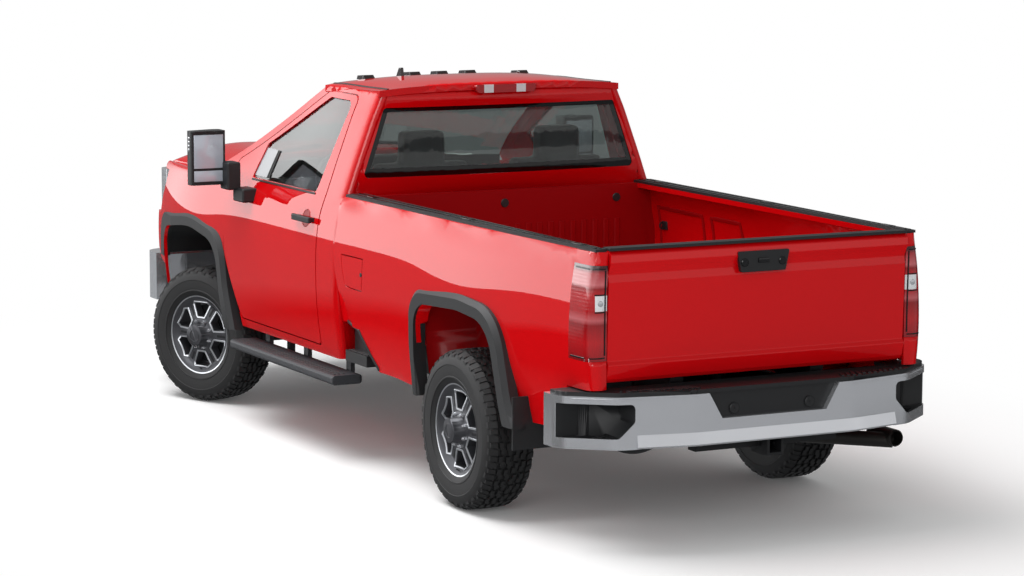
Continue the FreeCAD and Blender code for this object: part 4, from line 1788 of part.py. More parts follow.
TYRE_CORNERS = [
    ("Sizes.bead_radius", "Sizes.lip_reach - Sizes.lip_thick"),
    ("Sizes.lip_radius + Sizes.lip_thick", "Sizes.lip_reach"),
    ("Sizes.lip_radius + (Sizes.tyre_diameter / 2 - Sizes.lip_radius) * 0.45", "Sizes.tyre_width / 2"),
    ("Sizes.tyre_diameter / 2 - Sizes.shoulder_drop * 2.2", "Sizes.tyre_width / 2 - Sizes.shoulder_drop / 4"),
    ("Sizes.tyre_diameter / 2 - Sizes.shoulder_drop * 0.7", "Sizes.tread_width / 2 + Sizes.shoulder_drop / 2"),
    ("Sizes.tyre_diameter / 2", "Sizes.tread_width / 2 - Sizes.shoulder_drop"),
]


def mirrored_corners(corners):
    """The outline corners followed by their mirror images across the wheel's centre plane."""
    return corners + [(radius, f"-({reach})") for radius, reach in reversed(corners)]


def make_tyre(label):
    """Tyre body of revolution."""
    return revolved_body(label, mirrored_corners(TYRE_CORNERS))


def make_rim(label):
    """Twin-spoke rim: turned barrel and disc with windows, slots and lug pockets cut round it."""
    barrel_in = "Sizes.well_radius - Sizes.barrel_wall"
    corners = [
        ("Sizes.cap_radius", "Sizes.cap_reach"),
        ("Sizes.cap_radius", "Sizes.disc_face"),
        ("Sizes.hub_radius + Sizes.lug_pocket", "Sizes.disc_face"),
        ("Sizes.window_outer", "Sizes.disc_face - Sizes.lip_thick"),
        ("Sizes.bead_radius - Sizes.barrel_wall", "Sizes.lip_reach - Sizes.lip_thick / 2"),
        ("Sizes.lip_radius", "Sizes.lip_reach"),
        ("Sizes.lip_radius", "Sizes.lip_reach - Sizes.lip_thick * 0.42"),
        ("Sizes.bead_radius - Sizes.fit", "Sizes.lip_reach - Sizes.lip_thick"),
        ("Sizes.bead_radius - Sizes.fit", "Sizes.disc_back + Sizes.lip_thick"),
        ("Sizes.well_radius", "Sizes.disc_back - Sizes.lip_thick"),
        ("Sizes.well_radius", "-Sizes.disc_back"),
        ("Sizes.bead_radius - Sizes.fit", "-Sizes.disc_back - Sizes.lip_thick * 2"),
        ("Sizes.bead_radius - Sizes.fit", "-(Sizes.lip_reach - Sizes.lip_thick)"),
        ("Sizes.lip_radius", "-(Sizes.lip_reach - Sizes.lip_thick * 0.42)"),
        ("Sizes.lip_radius", "-Sizes.lip_reach"),
        ("Sizes.bead_radius - Sizes.barrel_wall", "-Sizes.lip_reach"),
        (barrel_in, "-Sizes.disc_back"),
        (barrel_in, "Sizes.disc_back - Sizes.lip_thick"),
        ("Sizes.window_outer - Sizes.barrel_wall", "Sizes.disc_back"),
        ("Sizes.hub_radius + Sizes.lug_pocket * 1.5", "Sizes.disc_back"),
        ("Sizes.hub_radius + Sizes.lug_pocket", "Sizes.hub_face"),
        ("Sizes.cap_radius", "Sizes.hub_face"),
        ("0", "Sizes.hub_face"),
        ("0", "Sizes.cap_reach"),
    ]
    body = revolved_body(label, corners)
    window = [
        ("-Sizes.window_half_inner", "Sizes.window_inner"), ("-Sizes.window_half_outer", "Sizes.window_outer * 0.93"),
        ("-Sizes.window_half_outer * 0.8", "Sizes.window_outer"), ("Sizes.window_half_outer * 0.8", "Sizes.window_outer"),
        ("Sizes.window_half_outer", "Sizes.window_outer * 0.93"), ("Sizes.window_half_inner", "Sizes.window_inner"),
    ]
    cut_pattern(body, label + "_window", window, "Sizes.wheel_count_windows", "Sizes.lip_reach")
    return body


def cut_pattern(body, name, corners, count, depth):
    """Pocket cut through the disc and repeated round the wheel's axis."""
    before = body.Shape.Volume
    drawing = outline_sketch(body, "XZ_Plane", name + "_sketch", corners)
    pocket = body.newObject("PartDesign::Pocket", name)
    pocket.Profile = drawing
    pocket.setExpression("Length", depth)
    doc.recompute()
    if abs(pocket.Shape.Volume - before) < 1:
        pocket.Reversed = True
        doc.recompute()
    pattern = body.newObject("PartDesign::PolarPattern", name + "_round")
    pattern.Originals = [pocket]
    y_axis = next(feature for feature in body.Origin.OriginFeatures if feature.Role == "Y_Axis")
    pattern.Axis = (y_axis, [""])
    pattern.Angle = 360
    pattern.setExpression("Occurrences", count)
    body.Tip = pattern
    doc.recompute()


def make_wheels():
    """Four wheels: each a rim and a tyre, the front pair turned with the knuckles."""
    out = S.track / 2 - S.kingpin_half
    flip = Rotation(Z_AXIS, 180)
    level = Rotation()
    places = (
        ("rear_left", Placement(Vector(rear_x, S.track / 2, axle_z), level)),
        ("rear_right", Placement(Vector(rear_x, -S.track / 2, axle_z), flip)),
        ("front_left", kingpin_place(1).multiply(Placement(Vector(0, out, 0), level))),
        ("front_right", kingpin_place(-1).multiply(Placement(Vector(0, -out, 0), flip))),
    )
    for name, place in places:
        tyre = make_tyre(f"tyre_{name}")
        tyre.Placement = place
        keep_object(f"tyre_{name}", tyre)
        rim = make_rim(f"rim_{name}")
        rim.Placement = place
        keep_object(f"rim_{name}", rim)


make_cab_sides()
make_door()
make_mirror()
make_cab_back()
make_roof()
make_windscreen()
make_cab_floor()
make_seats()
make_steering_wheel()
hood_space = make_hood()
make_fenders()
make_cowl()
make_box_sides()
make_tail_lamps()
make_fuel_door()
make_box_floor()
make_rail_caps()
make_tailgate()
make_rear_bumper()
make_frame()
make_engine()
make_arch_trim()
make_wheel_liners()
make_front_face(hood_space)
make_running_boards()
make_rear_axle()
make_knuckles()
make_front_suspension()
make_steering_linkage()
make_exhaust()
make_fuel_tank()
make_spare()
make_roof_lamps()
make_wheels()

doc.recompute()
for item in doc.Objects:
    if "Invalid" in item.State or "Error" in item.State:
        raise RuntimeError(f"{item.Label} failed: {item.State}")
os.makedirs("parts", exist_ok=True)
for piece in nodes:
    shape = piece.Shape
    if shape.isNull() or not shape.isValid() or shape.Volume <= 0:
        raise RuntimeError(f"{piece.Label} has no valid shape")
    shape.exportStep(f"parts/{piece.Label}.step")
    print(f"{piece.Label}: {len(shape.Solids)} solids, {shape.Volume / 1e6:.2f} litres")
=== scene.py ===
# %% [markdown]
# # A red pickup truck in a studio
# The truck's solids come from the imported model, so every size and place is already true. This lesson gives
# each part the finish of the real thing and adds the small forms that a maker would add last: tyre tread,
# lamp lenses, seals, ribs in the load bed and treads on the steps. Lengths are in metres: x runs forward, y
# left and z up.

# %% Load the frame
import json
import math

import bmesh
import bpy
from mathutils import Matrix, Vector
from mathutils.bvhtree import BVHTree


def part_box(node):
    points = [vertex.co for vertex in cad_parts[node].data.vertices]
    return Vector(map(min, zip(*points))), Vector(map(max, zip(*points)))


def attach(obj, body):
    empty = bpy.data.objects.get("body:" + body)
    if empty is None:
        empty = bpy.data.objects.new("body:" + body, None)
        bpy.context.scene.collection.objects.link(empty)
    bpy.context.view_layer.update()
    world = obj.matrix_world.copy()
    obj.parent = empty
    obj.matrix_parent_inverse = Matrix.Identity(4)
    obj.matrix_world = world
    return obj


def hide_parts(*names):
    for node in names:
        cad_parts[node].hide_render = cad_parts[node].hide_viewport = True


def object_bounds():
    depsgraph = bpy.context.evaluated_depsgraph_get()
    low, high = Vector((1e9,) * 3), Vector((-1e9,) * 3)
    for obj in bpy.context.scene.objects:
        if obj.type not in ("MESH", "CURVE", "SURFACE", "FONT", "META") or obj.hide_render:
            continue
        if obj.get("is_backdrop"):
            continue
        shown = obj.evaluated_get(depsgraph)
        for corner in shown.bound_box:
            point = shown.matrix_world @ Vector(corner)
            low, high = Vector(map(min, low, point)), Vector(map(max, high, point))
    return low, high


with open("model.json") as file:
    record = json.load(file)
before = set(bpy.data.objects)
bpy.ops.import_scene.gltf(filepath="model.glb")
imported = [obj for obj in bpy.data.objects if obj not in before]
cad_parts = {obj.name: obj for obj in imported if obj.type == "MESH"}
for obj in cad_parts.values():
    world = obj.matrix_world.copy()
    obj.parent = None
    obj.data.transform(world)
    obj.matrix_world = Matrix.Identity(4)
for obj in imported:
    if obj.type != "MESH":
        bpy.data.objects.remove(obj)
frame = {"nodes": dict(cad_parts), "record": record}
nodes = frame["nodes"]
behaviour = frame["record"]["behaviour"]
body_of_node = {node: body for body, members in behaviour["bodies"].items() for node in members}
joints = {joint["name"]: joint for joint in behaviour["joints"]}
rear_axle_x = joints["wheel_rear_left"]["pos_m"][0]
front_axle_x = joints["steer_left"]["pos_m"][0]
SIDES = {"left": 1, "right": -1}
cad_low, cad_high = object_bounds()
print("nodes", len(nodes), "box", [round(v, 3) for v in (*cad_low, *cad_high)])

# %% [markdown]
# ## Tools for finishes
# Paints, plastics and metals are all node graphs. One helper turns the colours that we know from a screen
# into the linear values that light needs, and one adds a node with its settings and links, so a finish reads
# like a recipe. Nearly every real surface has a fine relief, so that gets a helper too.


# %% Finish tools
def linear(hex_colour):
    """Linear RGBA of an sRGB hex colour such as '#b5121b'."""
    channels = [int(hex_colour[i:i + 2], 16) / 255 for i in (1, 3, 5)]
    return [c / 12.92 if c <= 0.04045 else ((c + 0.055) / 1.055) ** 2.4 for c in channels] + [1.0]


def add_node(tree, kind, inputs=(), **settings):
    """A shader node; its inputs, by name or in order, are values, or sockets or nodes to link from."""
    node = tree.nodes.new("ShaderNode" + kind)
    for name, value in settings.items():
        setattr(node, name, value)
    for name, value in inputs.items() if isinstance(inputs, dict) else enumerate(inputs):
        if isinstance(value, bpy.types.Node):
            value = value.outputs[0]
        if isinstance(value, bpy.types.NodeSocket):
            tree.links.new(value, node.inputs[name])
        else:
            node.inputs[name].default_value = value
    return node


def new_finish(name, **values):
    """A material with one Principled shader; values are its socket names with _ for a space."""
    finish = bpy.data.materials.new(name)
    finish.use_nodes = True
    shader = finish.node_tree.nodes["Principled BSDF"]
    for key, value in values.items():
        shader.inputs[key.replace("_", " ")].default_value = value
    return finish, finish.node_tree, shader


def grain(tree, shader, size_mm, depth_mm, detail=2.0, strength=1.0):
    """Fine relief with bumps of about size_mm across and depth_mm high."""
    point = add_node(tree, "TexCoord").outputs["Object"]
    noise = add_node(tree, "TexNoise", {"Vector": point, "Scale": 1000 / size_mm, "Detail": detail})
    bump = add_node(tree, "Bump", {"Height": noise, "Distance": depth_mm / 1000, "Strength": strength})
    tree.links.new(bump.outputs["Normal"], shader.inputs["Normal"])
    return noise


def grained(name, colour, size_mm, depth_mm, detail=2.0, strength=1.0, **values):
    """A finish of one colour with a fine relief."""
    finish, tree, shader = new_finish(name, Base_Color=linear(colour), **values)
    grain(tree, shader, size_mm, depth_mm, detail, strength)
    return finish


def resting_place(tree):
    """The x, y and z of the point on the piece at rest, as sockets."""
    point = add_node(tree, "TexCoord").outputs["Object"]
    return add_node(tree, "SeparateXYZ", [point]).outputs


def within(tree, value, low, high):
    """1 where a value lies between two limits, and 0 elsewhere."""
    over = add_node(tree, "Math", [value, low], operation="GREATER_THAN")
    under = add_node(tree, "Math", [value, high], operation="LESS_THAN")
    return add_node(tree, "Math", [over, under], operation="MULTIPLY")


# %% [markdown]
# ## The red body
# Car paint is a coloured enamel under a clear coat. The coat gives the hard mirror-like reflection, and the
# enamel below it scatters the red. Sprayed coats aren't perfectly flat: a slight orange peel, a few
# millimetres across, makes reflections waver a little. Inside the bed the same enamel is scuffed, so its coat
# hardly shows, and it is drawn a darker red as painted shade. The door handle cups take the same painted
# shade.

# %% Body paint
paint = grained("clear_coated_red_enamel", "#cb050c", 6.0, 0.006, 1.0, 0.2, Roughness=0.38, IOR=1.5,
                Specular_IOR_Level=0.0, Coat_Weight=1.0, Coat_Roughness=0.015, Coat_IOR=1.46)
# Darker than the body red: painted shade inside the bed and in the handle cups. The thin coat is the scuffed
# enamel.
shaded_red_paint = grained("red_enamel_darkened_as_painted_shade", "#9a070d", 4.0, 0.03, 2.0, 0.4, Roughness=0.4, IOR=1.5,
                    Specular_IOR_Level=0.1, Coat_Weight=0.2, Coat_Roughness=0.15)

# %% [markdown]
# ## Metals
# Chromium plate is a mirror with a very slight haze. The wheels are cast aluminium: their faces are turned on
# a lathe, which leaves fine rings, and their pockets are painted grey. Steel parts below carry a dark wax or
# zinc. Rings and grit finer than a millimetre are drawn about a millimetre coarse, the least that the render
# can show.

# %% Metals
# Polished plate over steel: nearly a mirror, with a soft waviness that a pressed bumper keeps.
chrome = grained("chromium_plate", "#e6e8ec", 30.0, 0.02, 1.0, 0.1, Metallic=0.8, Roughness=0.10)
# Powder paint on a casting: a dull grey with a little sparkle.
wheel_paint = grained("grey_painted_cast_aluminium", "#4b4c50", 1.5, 0.02, 2.0, 0.3, Metallic=0.6,
                      Roughness=0.42)
# Bare lathe-turned faces: bright, with a satin edge to each highlight.
turned = grained("turned_aluminium", "#c9ccd0", 0.8, 0.01, 2.0, 0.2, Metallic=0.85, Roughness=0.3)
# Underbody steel dipped in wax: almost black, with a broad dull shine.
waxed = grained("wax_coated_frame_steel", "#17181a", 2.5, 0.08, 3.0, 0.5, Metallic=0.2, Roughness=0.55)
# Sand-cast axle housings under chassis paint: rough and dark.
iron = grained("painted_cast_iron", "#202124", 1.8, 0.15, 3.0, 0.6, Metallic=0.3, Roughness=0.6)
# The engine block as it left the sand mould: grey and pitted.
block_iron = grained("bare_cast_iron", "#4a4a4d", 2.0, 0.2, 4.0, 0.6, Metallic=0.4, Roughness=0.62)
# Rolled exhaust pipe, clouded by heat, so its shine is uneven.
steel, tree, shader = new_finish("aluminised_steel", Base_Color=linear("#3a3836"), Metallic=0.7,
                                 Roughness=0.45)
clouds = grain(tree, shader, 3.0, 0.05, detail=4.0, strength=0.4)
rough = add_node(tree, "MapRange", {"Value": clouds, "To Min": 0.34, "To Max": 0.6})
tree.links.new(rough.outputs["Result"], shader.inputs["Roughness"])

# %% [markdown]
# ## Plastics, rubber and cloth
# Outer trim is moulded polypropylene with a fine leather-like grain that keeps it matte. Tyres are black
# rubber with dust in its pores, so its shine comes and goes.

# %% Plastics and rubber
# Moulded in a grained tool: matte, with no clear reflection.
black_trim = grained("grained_polypropylene", "#1b1c1e", 1.4, 0.08, 3.0, 0.6, Roughness=0.5)
grey_trim = grained("grey_moulded_trim", "#303236", 1.4, 0.08, 3.0, 0.6, Roughness=0.55)
# Moulded in a polished tool: a clear dark mirror.
smooth_black = grained("gloss_black_moulding", "#0d0e10", 8.0, 0.01, 1.0, 0.2, Roughness=0.16)
# Sprayed silver on a moulding: satin, paler than the trim round it.
sail_grey = grained("satin_grey_sail_panel", "#85878b", 1.4, 0.02, 2.0, 0.3, Roughness=0.3, Coat_Weight=0.5,
                    Coat_Roughness=0.1)
# Extruded rubber: the darkest line on the truck.
seal = grained("black_rubber_seal", "#0b0b0c", 1.5, 0.03, 2.0, 0.3, Roughness=0.48)
# Woven cloth: no shine, and a pale fuzz at grazing angles.
cloth = grained("woven_seat_cloth", "#26272a", 2.0, 0.4, 2.0, 0.8, Roughness=0.9, Sheen_Weight=0.4)
# Vulcanised tyre rubber with dust in its pores, so its shine comes and goes.
rubber, tree, shader = new_finish("tyre_rubber", Base_Color=linear("#1a1a1b"), Roughness=0.62)
pores = grain(tree, shader, 2.2, 0.1, detail=4.0, strength=0.6)
dust = add_node(tree, "MapRange", {"Value": pores, "To Min": 0.5, "To Max": 0.76})
tree.links.new(dust.outputs["Result"], shader.inputs["Roughness"])

# %% [markdown]
# ## Glass
# The windows are tinted through their whole thickness. The rear glass has a black ceramic edge that hides its
# glue. It could be a separate strip, but on the real pane it is printed, so a material that knows how close a
# point is to the border of the trapezoid draws it without a step.

# %% Glass
# Float glass: a clean mirror over a smoky see-through body.
tinted = grained("tinted_window_glass", "#bcc4c1", 90.0, 0.01, 1.0, 0.03, Roughness=0.015, IOR=1.45,
                 Transmission_Weight=1.0)
# Silvered glass in a dim surround: a cool grey sheen. Its pale grey is painted reflection on a mostly non-metal
# surface, and only the thin coat truly mirrors.
mirror = grained("mirror_glass_grey_as_painted_reflection", "#aeb5bf", 80.0, 0.01, 1.0, 0.05, Metallic=0.1, Roughness=0.1,
                 Coat_Weight=0.8, Coat_Roughness=0.03)

window_low, window_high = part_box("rear_window")
EDGE_FOOT, EDGE_TOP = 0.0487, 0.0227
SIDE_SLOPE, SIDE_REACH = -0.352, 1.346
framed_glass, tree, shader = new_finish("rear_glass_with_black_edge", Roughness=0.015, IOR=1.45)
grain(tree, shader, 90.0, 0.01, detail=1.0, strength=0.03)
_, across, height = resting_place(tree)
aside = add_node(tree, "Math", [across], operation="ABSOLUTE")
side_line = add_node(tree, "Math", [height, SIDE_SLOPE, SIDE_REACH], operation="MULTIPLY_ADD")
inside = add_node(tree, "Math", [aside, side_line], operation="LESS_THAN")
pane = within(tree, height, window_low[2] + EDGE_FOOT, window_high[2] - EDGE_TOP)
clear = add_node(tree, "Math", [inside, pane], operation="MULTIPLY")
tint = add_node(tree, "Mix", {0: clear, 6: linear("#060607"), 7: linear("#bcc4c1")}, data_type="RGBA")
tree.links.new(tint.outputs[2], shader.inputs["Base Color"])
tree.links.new(clear.outputs[0], shader.inputs["Transmission Weight"])

# %% [markdown]
# ## Lamps
# Lamps are acrylic: a clear skin over a coloured or mirrored inside. A tail lamp is one moulding in bands, so
# its finish is a ramp of reds up its height with a clear reversing window on the rear face. Moulded flutes
# break up the bulb's image. The real ones are a few millimetres wide, and here they are drawn 10 mm and 17 mm
# apart, coarse enough to show. The high brake lamp shares a node with the roof lamps: red, with a clear lamp
# at each end.

# %% Lamps
# Clear acrylic over a chromed reflector: bright, with the reflector's facets.
clear_lens = grained("clear_acrylic_over_chrome", "#c9ccd0", 5.0, 0.4, 1.0, 0.5, Metallic=0.6, Roughness=0.14,
                     Coat_Weight=1.0, Coat_Roughness=0.02)

FLUTE_PITCH, ROW_PITCH = 0.010134, 0.016535
REVERSE_FOOT, REVERSE_TOP, REVERSE_ASIDE = 1.155, 1.228, 0.898
lamp_low, lamp_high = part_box("tail_lamps")
tail_lens, tree, shader = new_finish("tail_lamp_acrylic", Roughness=0.1, IOR=1.49, Coat_Weight=1.0,
                                     Coat_Roughness=0.02)
along, across, height = resting_place(tree)
rise = add_node(tree, "MapRange", [height, lamp_low[2], lamp_high[2]])
lamp_bands = add_node(tree, "ValToRGB", [rise])
foot, crest = lamp_bands.color_ramp.elements
foot.color, crest.color = linear("#7c0810"), linear("#3c1013")
crest.position = 0.965
band_shares = ((0.03, "#960a12"), (0.20, "#b40f17"), (0.38, "#8c0910"), (0.43, "#bd5a5e"), (0.515, "#a80a12"),
               (0.70, "#b3131b"), (0.76, "#8c0910"), (0.80, "#c46468"), (0.92, "#a82a30"))
for share, colour in band_shares:
    lamp_bands.color_ramp.elements.new(share).color = linear(colour)
aside = add_node(tree, "Math", [across], operation="ABSOLUTE")
reverse = add_node(tree, "Math", [within(tree, height, REVERSE_FOOT, REVERSE_TOP),
                                  within(tree, aside, 0.0, REVERSE_ASIDE)], operation="MULTIPLY")
lens_colour = add_node(tree, "Mix", {0: reverse, 6: lamp_bands, 7: linear("#dfe2e4")}, data_type="RGBA")
tree.links.new(lens_colour.outputs[2], shader.inputs["Base Color"])
round_corner = add_node(tree, "Math", [along, across], operation="ADD")
waves = []
for path, pitch in ((round_corner, FLUTE_PITCH), (height, ROW_PITCH)):
    phase = add_node(tree, "Math", [path, math.tau / pitch], operation="MULTIPLY")
    waves.append(add_node(tree, "Math", [phase], operation="SINE"))
flutes = add_node(tree, "Math", [waves[1], 0.3, waves[0]], operation="MULTIPLY_ADD")
bump = add_node(tree, "Bump", {"Height": flutes, "Distance": 0.0005, "Strength": 0.4})
tree.links.new(bump.outputs["Normal"], shader.inputs["Normal"])

roof_lens, tree, shader = new_finish("roof_lamp_acrylic", Roughness=0.12, IOR=1.49, Coat_Weight=1.0,
                                     Coat_Roughness=0.02)
grain(tree, shader, 7.0, 0.3, detail=1.0, strength=0.5)
along, across, _ = resting_place(tree)
BRAKE_MIDDLE = 0.007
from_middle = add_node(tree, "Math", [across, BRAKE_MIDDLE], operation="SUBTRACT")
from_middle = add_node(tree, "Math", [from_middle], operation="ABSOLUTE")
brake = add_node(tree, "Mix", {0: within(tree, from_middle, 0.070, 0.128), 6: linear("#a30a12"),
                               7: linear("#dcdfe2")}, data_type="RGBA")
behind_cab = add_node(tree, "Math", [along, -0.1], operation="LESS_THAN")
lamp_colour = add_node(tree, "Mix", {0: behind_cab, 6: linear("#1c1210"), 7: brake.outputs[2]},
                       data_type="RGBA")
tree.links.new(lamp_colour.outputs[2], shader.inputs["Base Color"])

finish_of_slot = {
    "red_paint": paint, "dark_frame": waxed, "chrome": chrome, "machined_aluminium": wheel_paint,
    "black_plastic": black_trim, "gloss_black": smooth_black, "lamp_red": tail_lens, "lamp_clear": clear_lens,
    "lamp_amber": roof_lens, "tinted_glass": tinted, "tyre": rubber, "trim_grey": grey_trim,
    "seat_fabric": cloth, "cast_block": block_iron, "steel": steel, "axle_iron": iron,
}
print("finishes", len(bpy.data.materials))

# %% [markdown]
# ## Smooth panels
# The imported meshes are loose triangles. They show the right shape but would shine like cut stones, so each
# one gets a copy with its seams merged and its gentle curves shaded smooth. The copy rides on the same body
# and stands for the node.


# %% Panel tools
def put(piece, body, finish):
    """Link a finished piece, give it its material and let it ride on a body."""
    bpy.context.scene.collection.objects.link(piece)
    piece.data.materials.clear()
    piece.data.materials.append(finish)
    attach(piece, body)
    return piece


def shade_by_angle(mesh, degrees):
    """Smooth shading, with edges sharper than the angle kept crisp."""
    mesh.polygons.foreach_set("use_smooth", [True] * len(mesh.polygons))
    mesh.set_sharp_from_angle(angle=math.radians(degrees))


def merged_mesh(node, reach):
    """A copy of a node's mesh whose points within reach of each other are one."""
    mesh = nodes[node].data.copy()
    if "sharp_edge" in mesh.attributes:
        mesh.attributes.remove(mesh.attributes["sharp_edge"])
    shape = bmesh.new()
    shape.from_mesh(mesh)
    bmesh.ops.remove_doubles(shape, verts=shape.verts, dist=reach)
    shape.to_mesh(mesh)
    shape.free()
    return mesh


# %% [markdown]
# ## Fair sides
# A stylist checks a car by one long reflection that runs through all its side panels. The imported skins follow
# rows of points and waver by a millimetre or two between them, which a mirror shows. Moving the skin would
# open its gaps, so only the direction that the surface claims to face is smoothed: it tucks in at the sill,
# leans in above the bulge, swells at the wheels and tapers at the ends.

# %% Side normals
BULGE_HEIGHT, HALF_HEIGHT = 0.984, 0.44
LEAN_ABOVE, TUCK_BELOW = 0.32, 0.19
SWELL_LENGTH, SWELL_DROP = 0.45, 0.06
TAIL_TAPER, NOSE_TAPER, EVEN_TAPER = 0.06, 0.13, 0.03
SKIN_HALF, SILL_HEIGHT, SHOULDER_HEIGHT = 0.86, 0.545, 1.418


def soft_step(value, first, last):
    """0 before first, 1 after last, and an eased slope between."""
    share = min(1.0, max(0.0, (value - first) / (last - first)))
    return share * share * (3 - 2 * share)


def side_normal(place):
    """The fair normal of the truck's side at a place."""
    swell = sum(math.exp(-((place.x - axle) / SWELL_LENGTH) ** 2) for axle in (rear_axle_x, front_axle_x))
    level = (place.z - BULGE_HEIGHT + SWELL_DROP * swell) / HALF_HEIGHT
    lean = LEAN_ABOVE * max(0.0, level) ** 1.2 - TUCK_BELOW * max(0.0, -level)
    nose, tail = soft_step(place.x, 1.7, 2.7), soft_step(-place.x, 1.5, 2.6)
    taper = NOSE_TAPER * nose - TAIL_TAPER * tail - EVEN_TAPER
    return Vector((taper, 1 if place.y > 0 else -1, lean)).normalized()


def fair_the_side(mesh, rolls_over):
    """Give the outer skin fair normals; a panel that rolls over keeps its own along its top."""
    first, last = (0.55, 0.86) if rolls_over else (0.30, 0.70)
    normals = [(0.0, 0.0, 0.0)] * len(mesh.loops)
    for polygon in mesh.polygons:
        for loop in polygon.loop_indices:
            place = mesh.vertices[mesh.loops[loop].vertex_index].co
            fair = side_normal(place)
            own = mesh.corner_normals[loop].vector
            likeness = soft_step(polygon.normal.dot(fair), first, last)
            if abs(place.y) > SKIN_HALF and SILL_HEIGHT < place.z < SHOULDER_HEIGHT and likeness > 0:
                roll = soft_step(place.z, 1.33, 1.42) if own.dot(fair) > 0.7 and rolls_over else 0.0
                normals[loop] = own.lerp(fair, likeness * (1 - roll)).normalized()
    mesh.normals_split_custom_set(normals)


# %% [markdown]
# ## Dress the solids
# Every node but the tyres and the cushions, which are made anew below, gets its smooth copy. The bumpers are
# bent from plate, and their creases are shallow, so they keep more edges crisp.

# %% Dress the solids
MERGE_REACH = 0.00002
slot_of_node = {part["node"]: part["material_slot"] for part in frame["record"]["subparts"]}
# The bed floor takes the darker red, which is painted shade inside the bed.
own_finish = {"box_floor": shaded_red_paint, "rear_window": framed_glass, "seat_bases": black_trim}
side_panels = {"box_sides": True, "front_fenders": True, "fuel_door": False, "cab_sides": False,
               "door_left": False, "door_right": False}
remade = [name for name in slot_of_node if name.startswith("tyre_")] + ["seat_backs", "seat_cushions"]
panels = {}
for node, slot_name in slot_of_node.items():
    if node in remade:
        continue
    mesh = merged_mesh(node, MERGE_REACH)
    mesh.name = node + "_panel"
    shade_by_angle(mesh, 12 if node.endswith("_bumper") else 28)
    panel = put(bpy.data.objects.new(node + "_panel", mesh), body_of_node[node],
                own_finish.get(node, finish_of_slot[slot_name]))
    if node in side_panels:
        fair_the_side(mesh, rolls_over=side_panels[node])
    else:
        even = panel.modifiers.new("even_normals", "WEIGHTED_NORMAL")
        even.keep_sharp = True
        even.weight = 70
    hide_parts(node)
    panels[node] = panel
print("panels", len(panels))

# %% [markdown]
# ## Tools for small forms
# Trim lies on curved panels, so its path is found the way a fitter finds it: a ray from outside meets the
# panel, and the strip is laid along the places it met. A strip is one outline carried along that path. Round
# things are spun from half a section, and small blocks are cubes with eased edges.


# %% Rays onto the panels
RAY_GAP = 0.3
ray_trees = {}


def met(node, rays):
    """The place where each ray meets a node, and the normal there towards its start; misses drop out."""
    if node not in ray_trees:
        source = nodes[node].data
        ray_trees[node] = BVHTree.FromPolygons([vertex.co for vertex in source.vertices],
                                               [polygon.vertices[:] for polygon in source.polygons])
    pairs = []
    for start, way in rays:
        place, normal, _, _ = ray_trees[node].ray_cast(start, way)
        if place is not None:
            pairs.append((place, -normal if normal.dot(way) > 0 else normal))
    return pairs


def beside(side, along, height):
    """A ray that comes in square to the left side, 1, or the right side, -1."""
    return Vector((along, side * (cad_high[1] + RAY_GAP), height)), Vector((0, -side, 0))


def above(along, across, height=cad_high[2] + RAY_GAP):
    """A ray that falls from a height."""
    return Vector((along, across, height)), Vector((0, 0, -1))


def behind(across, height, start=cad_low[0] - RAY_GAP):
    """A ray that runs forward, from behind the truck if no start is given."""
    return Vector((start, across, height)), Vector((1, 0, 0))


def ahead(across, height):
    """A ray that runs back from ahead of the truck."""
    return Vector((cad_high[0] + RAY_GAP, across, height)), Vector((-1, 0, 0))


def onto_bed_side(side, along, height):
    """A ray from the middle of the bed onto the inside of a box side."""
    return Vector((along, 0, height)), Vector((0, side, 0))


def run(first, last, count):
    """Evenly spaced places on a straight line."""
    first, last = Vector(first), Vector(last)
    return [first.lerp(last, k / (count - 1)) for k in range(count)]


def round_trip(corners, counts):
    """Evenly spaced places along a closed outline; counts are those from corner to corner, in turn."""
    places = []
    for k, corner in enumerate(corners):
        places += run(corner, corners[(k + 1) % len(corners)], counts[k % len(counts)])[:-1]
    return places


# %% Small forms
def facing(place, way):
    """The matrix that stands a form's z axis along a direction at a place."""
    return Matrix.Translation(place) @ Vector(way).to_track_quat("Z", "Y").to_matrix().to_4x4()


def bar(width, height, sink=0.001):
    """A low bar's outline with chamfered shoulders, as (aside, above) pairs."""
    half = width / 2
    left = [(-half, -sink), (-half, height * 0.6), (-half * 0.7, height)]
    return left + [(-aside, up) for aside, up in reversed(left)]


def sweep(shape, pairs, outline, closed=False):
    """Carry an outline along places; its above side follows their normals."""
    if len(pairs) < 2:
        return
    rings = []
    for k, (place, normal) in enumerate(pairs):
        next_place = pairs[(k + 1) % len(pairs)][0] if closed or k + 1 < len(pairs) else place
        last_place = pairs[k - 1][0] if closed or k else place
        aside = (next_place - last_place).cross(normal).normalized()
        rings.append([shape.verts.new(place + aside * s + normal * h) for s, h in outline])
    for one, two in zip(rings, rings[1:] + rings[:1] if closed else rings[1:]):
        for k in range(len(outline)):
            j = (k + 1) % len(outline)
            shape.faces.new((one[k], one[j], two[j], two[k]))
    if not closed:
        shape.faces.new(rings[0])
        shape.faces.new(list(reversed(rings[-1])))


def strip(shape, node, ray, path, outline, closed=False):
    """A strip laid where the rays of a path meet a node; a closed one needs all of them."""
    pairs = met(node, [ray(*place) for place in path])
    if len(pairs) == len(path) or not closed:
        sweep(shape, pairs, outline, closed)


def brick(shape, low, high, bevel=0.0):
    """A block between two corners, its edges eased."""
    low, high = Vector(low), Vector(high)
    made = bmesh.ops.create_cube(shape, size=1.0)["verts"]
    bmesh.ops.scale(shape, vec=high - low, verts=made)
    bmesh.ops.translate(shape, vec=(low + high) / 2, verts=made)
    if bevel:
        edges = list({edge for vertex in made for edge in vertex.link_edges})
        bmesh.ops.bevel(shape, geom=edges, offset=bevel, segments=2, profile=0.5, affect="EDGES", material=-1)


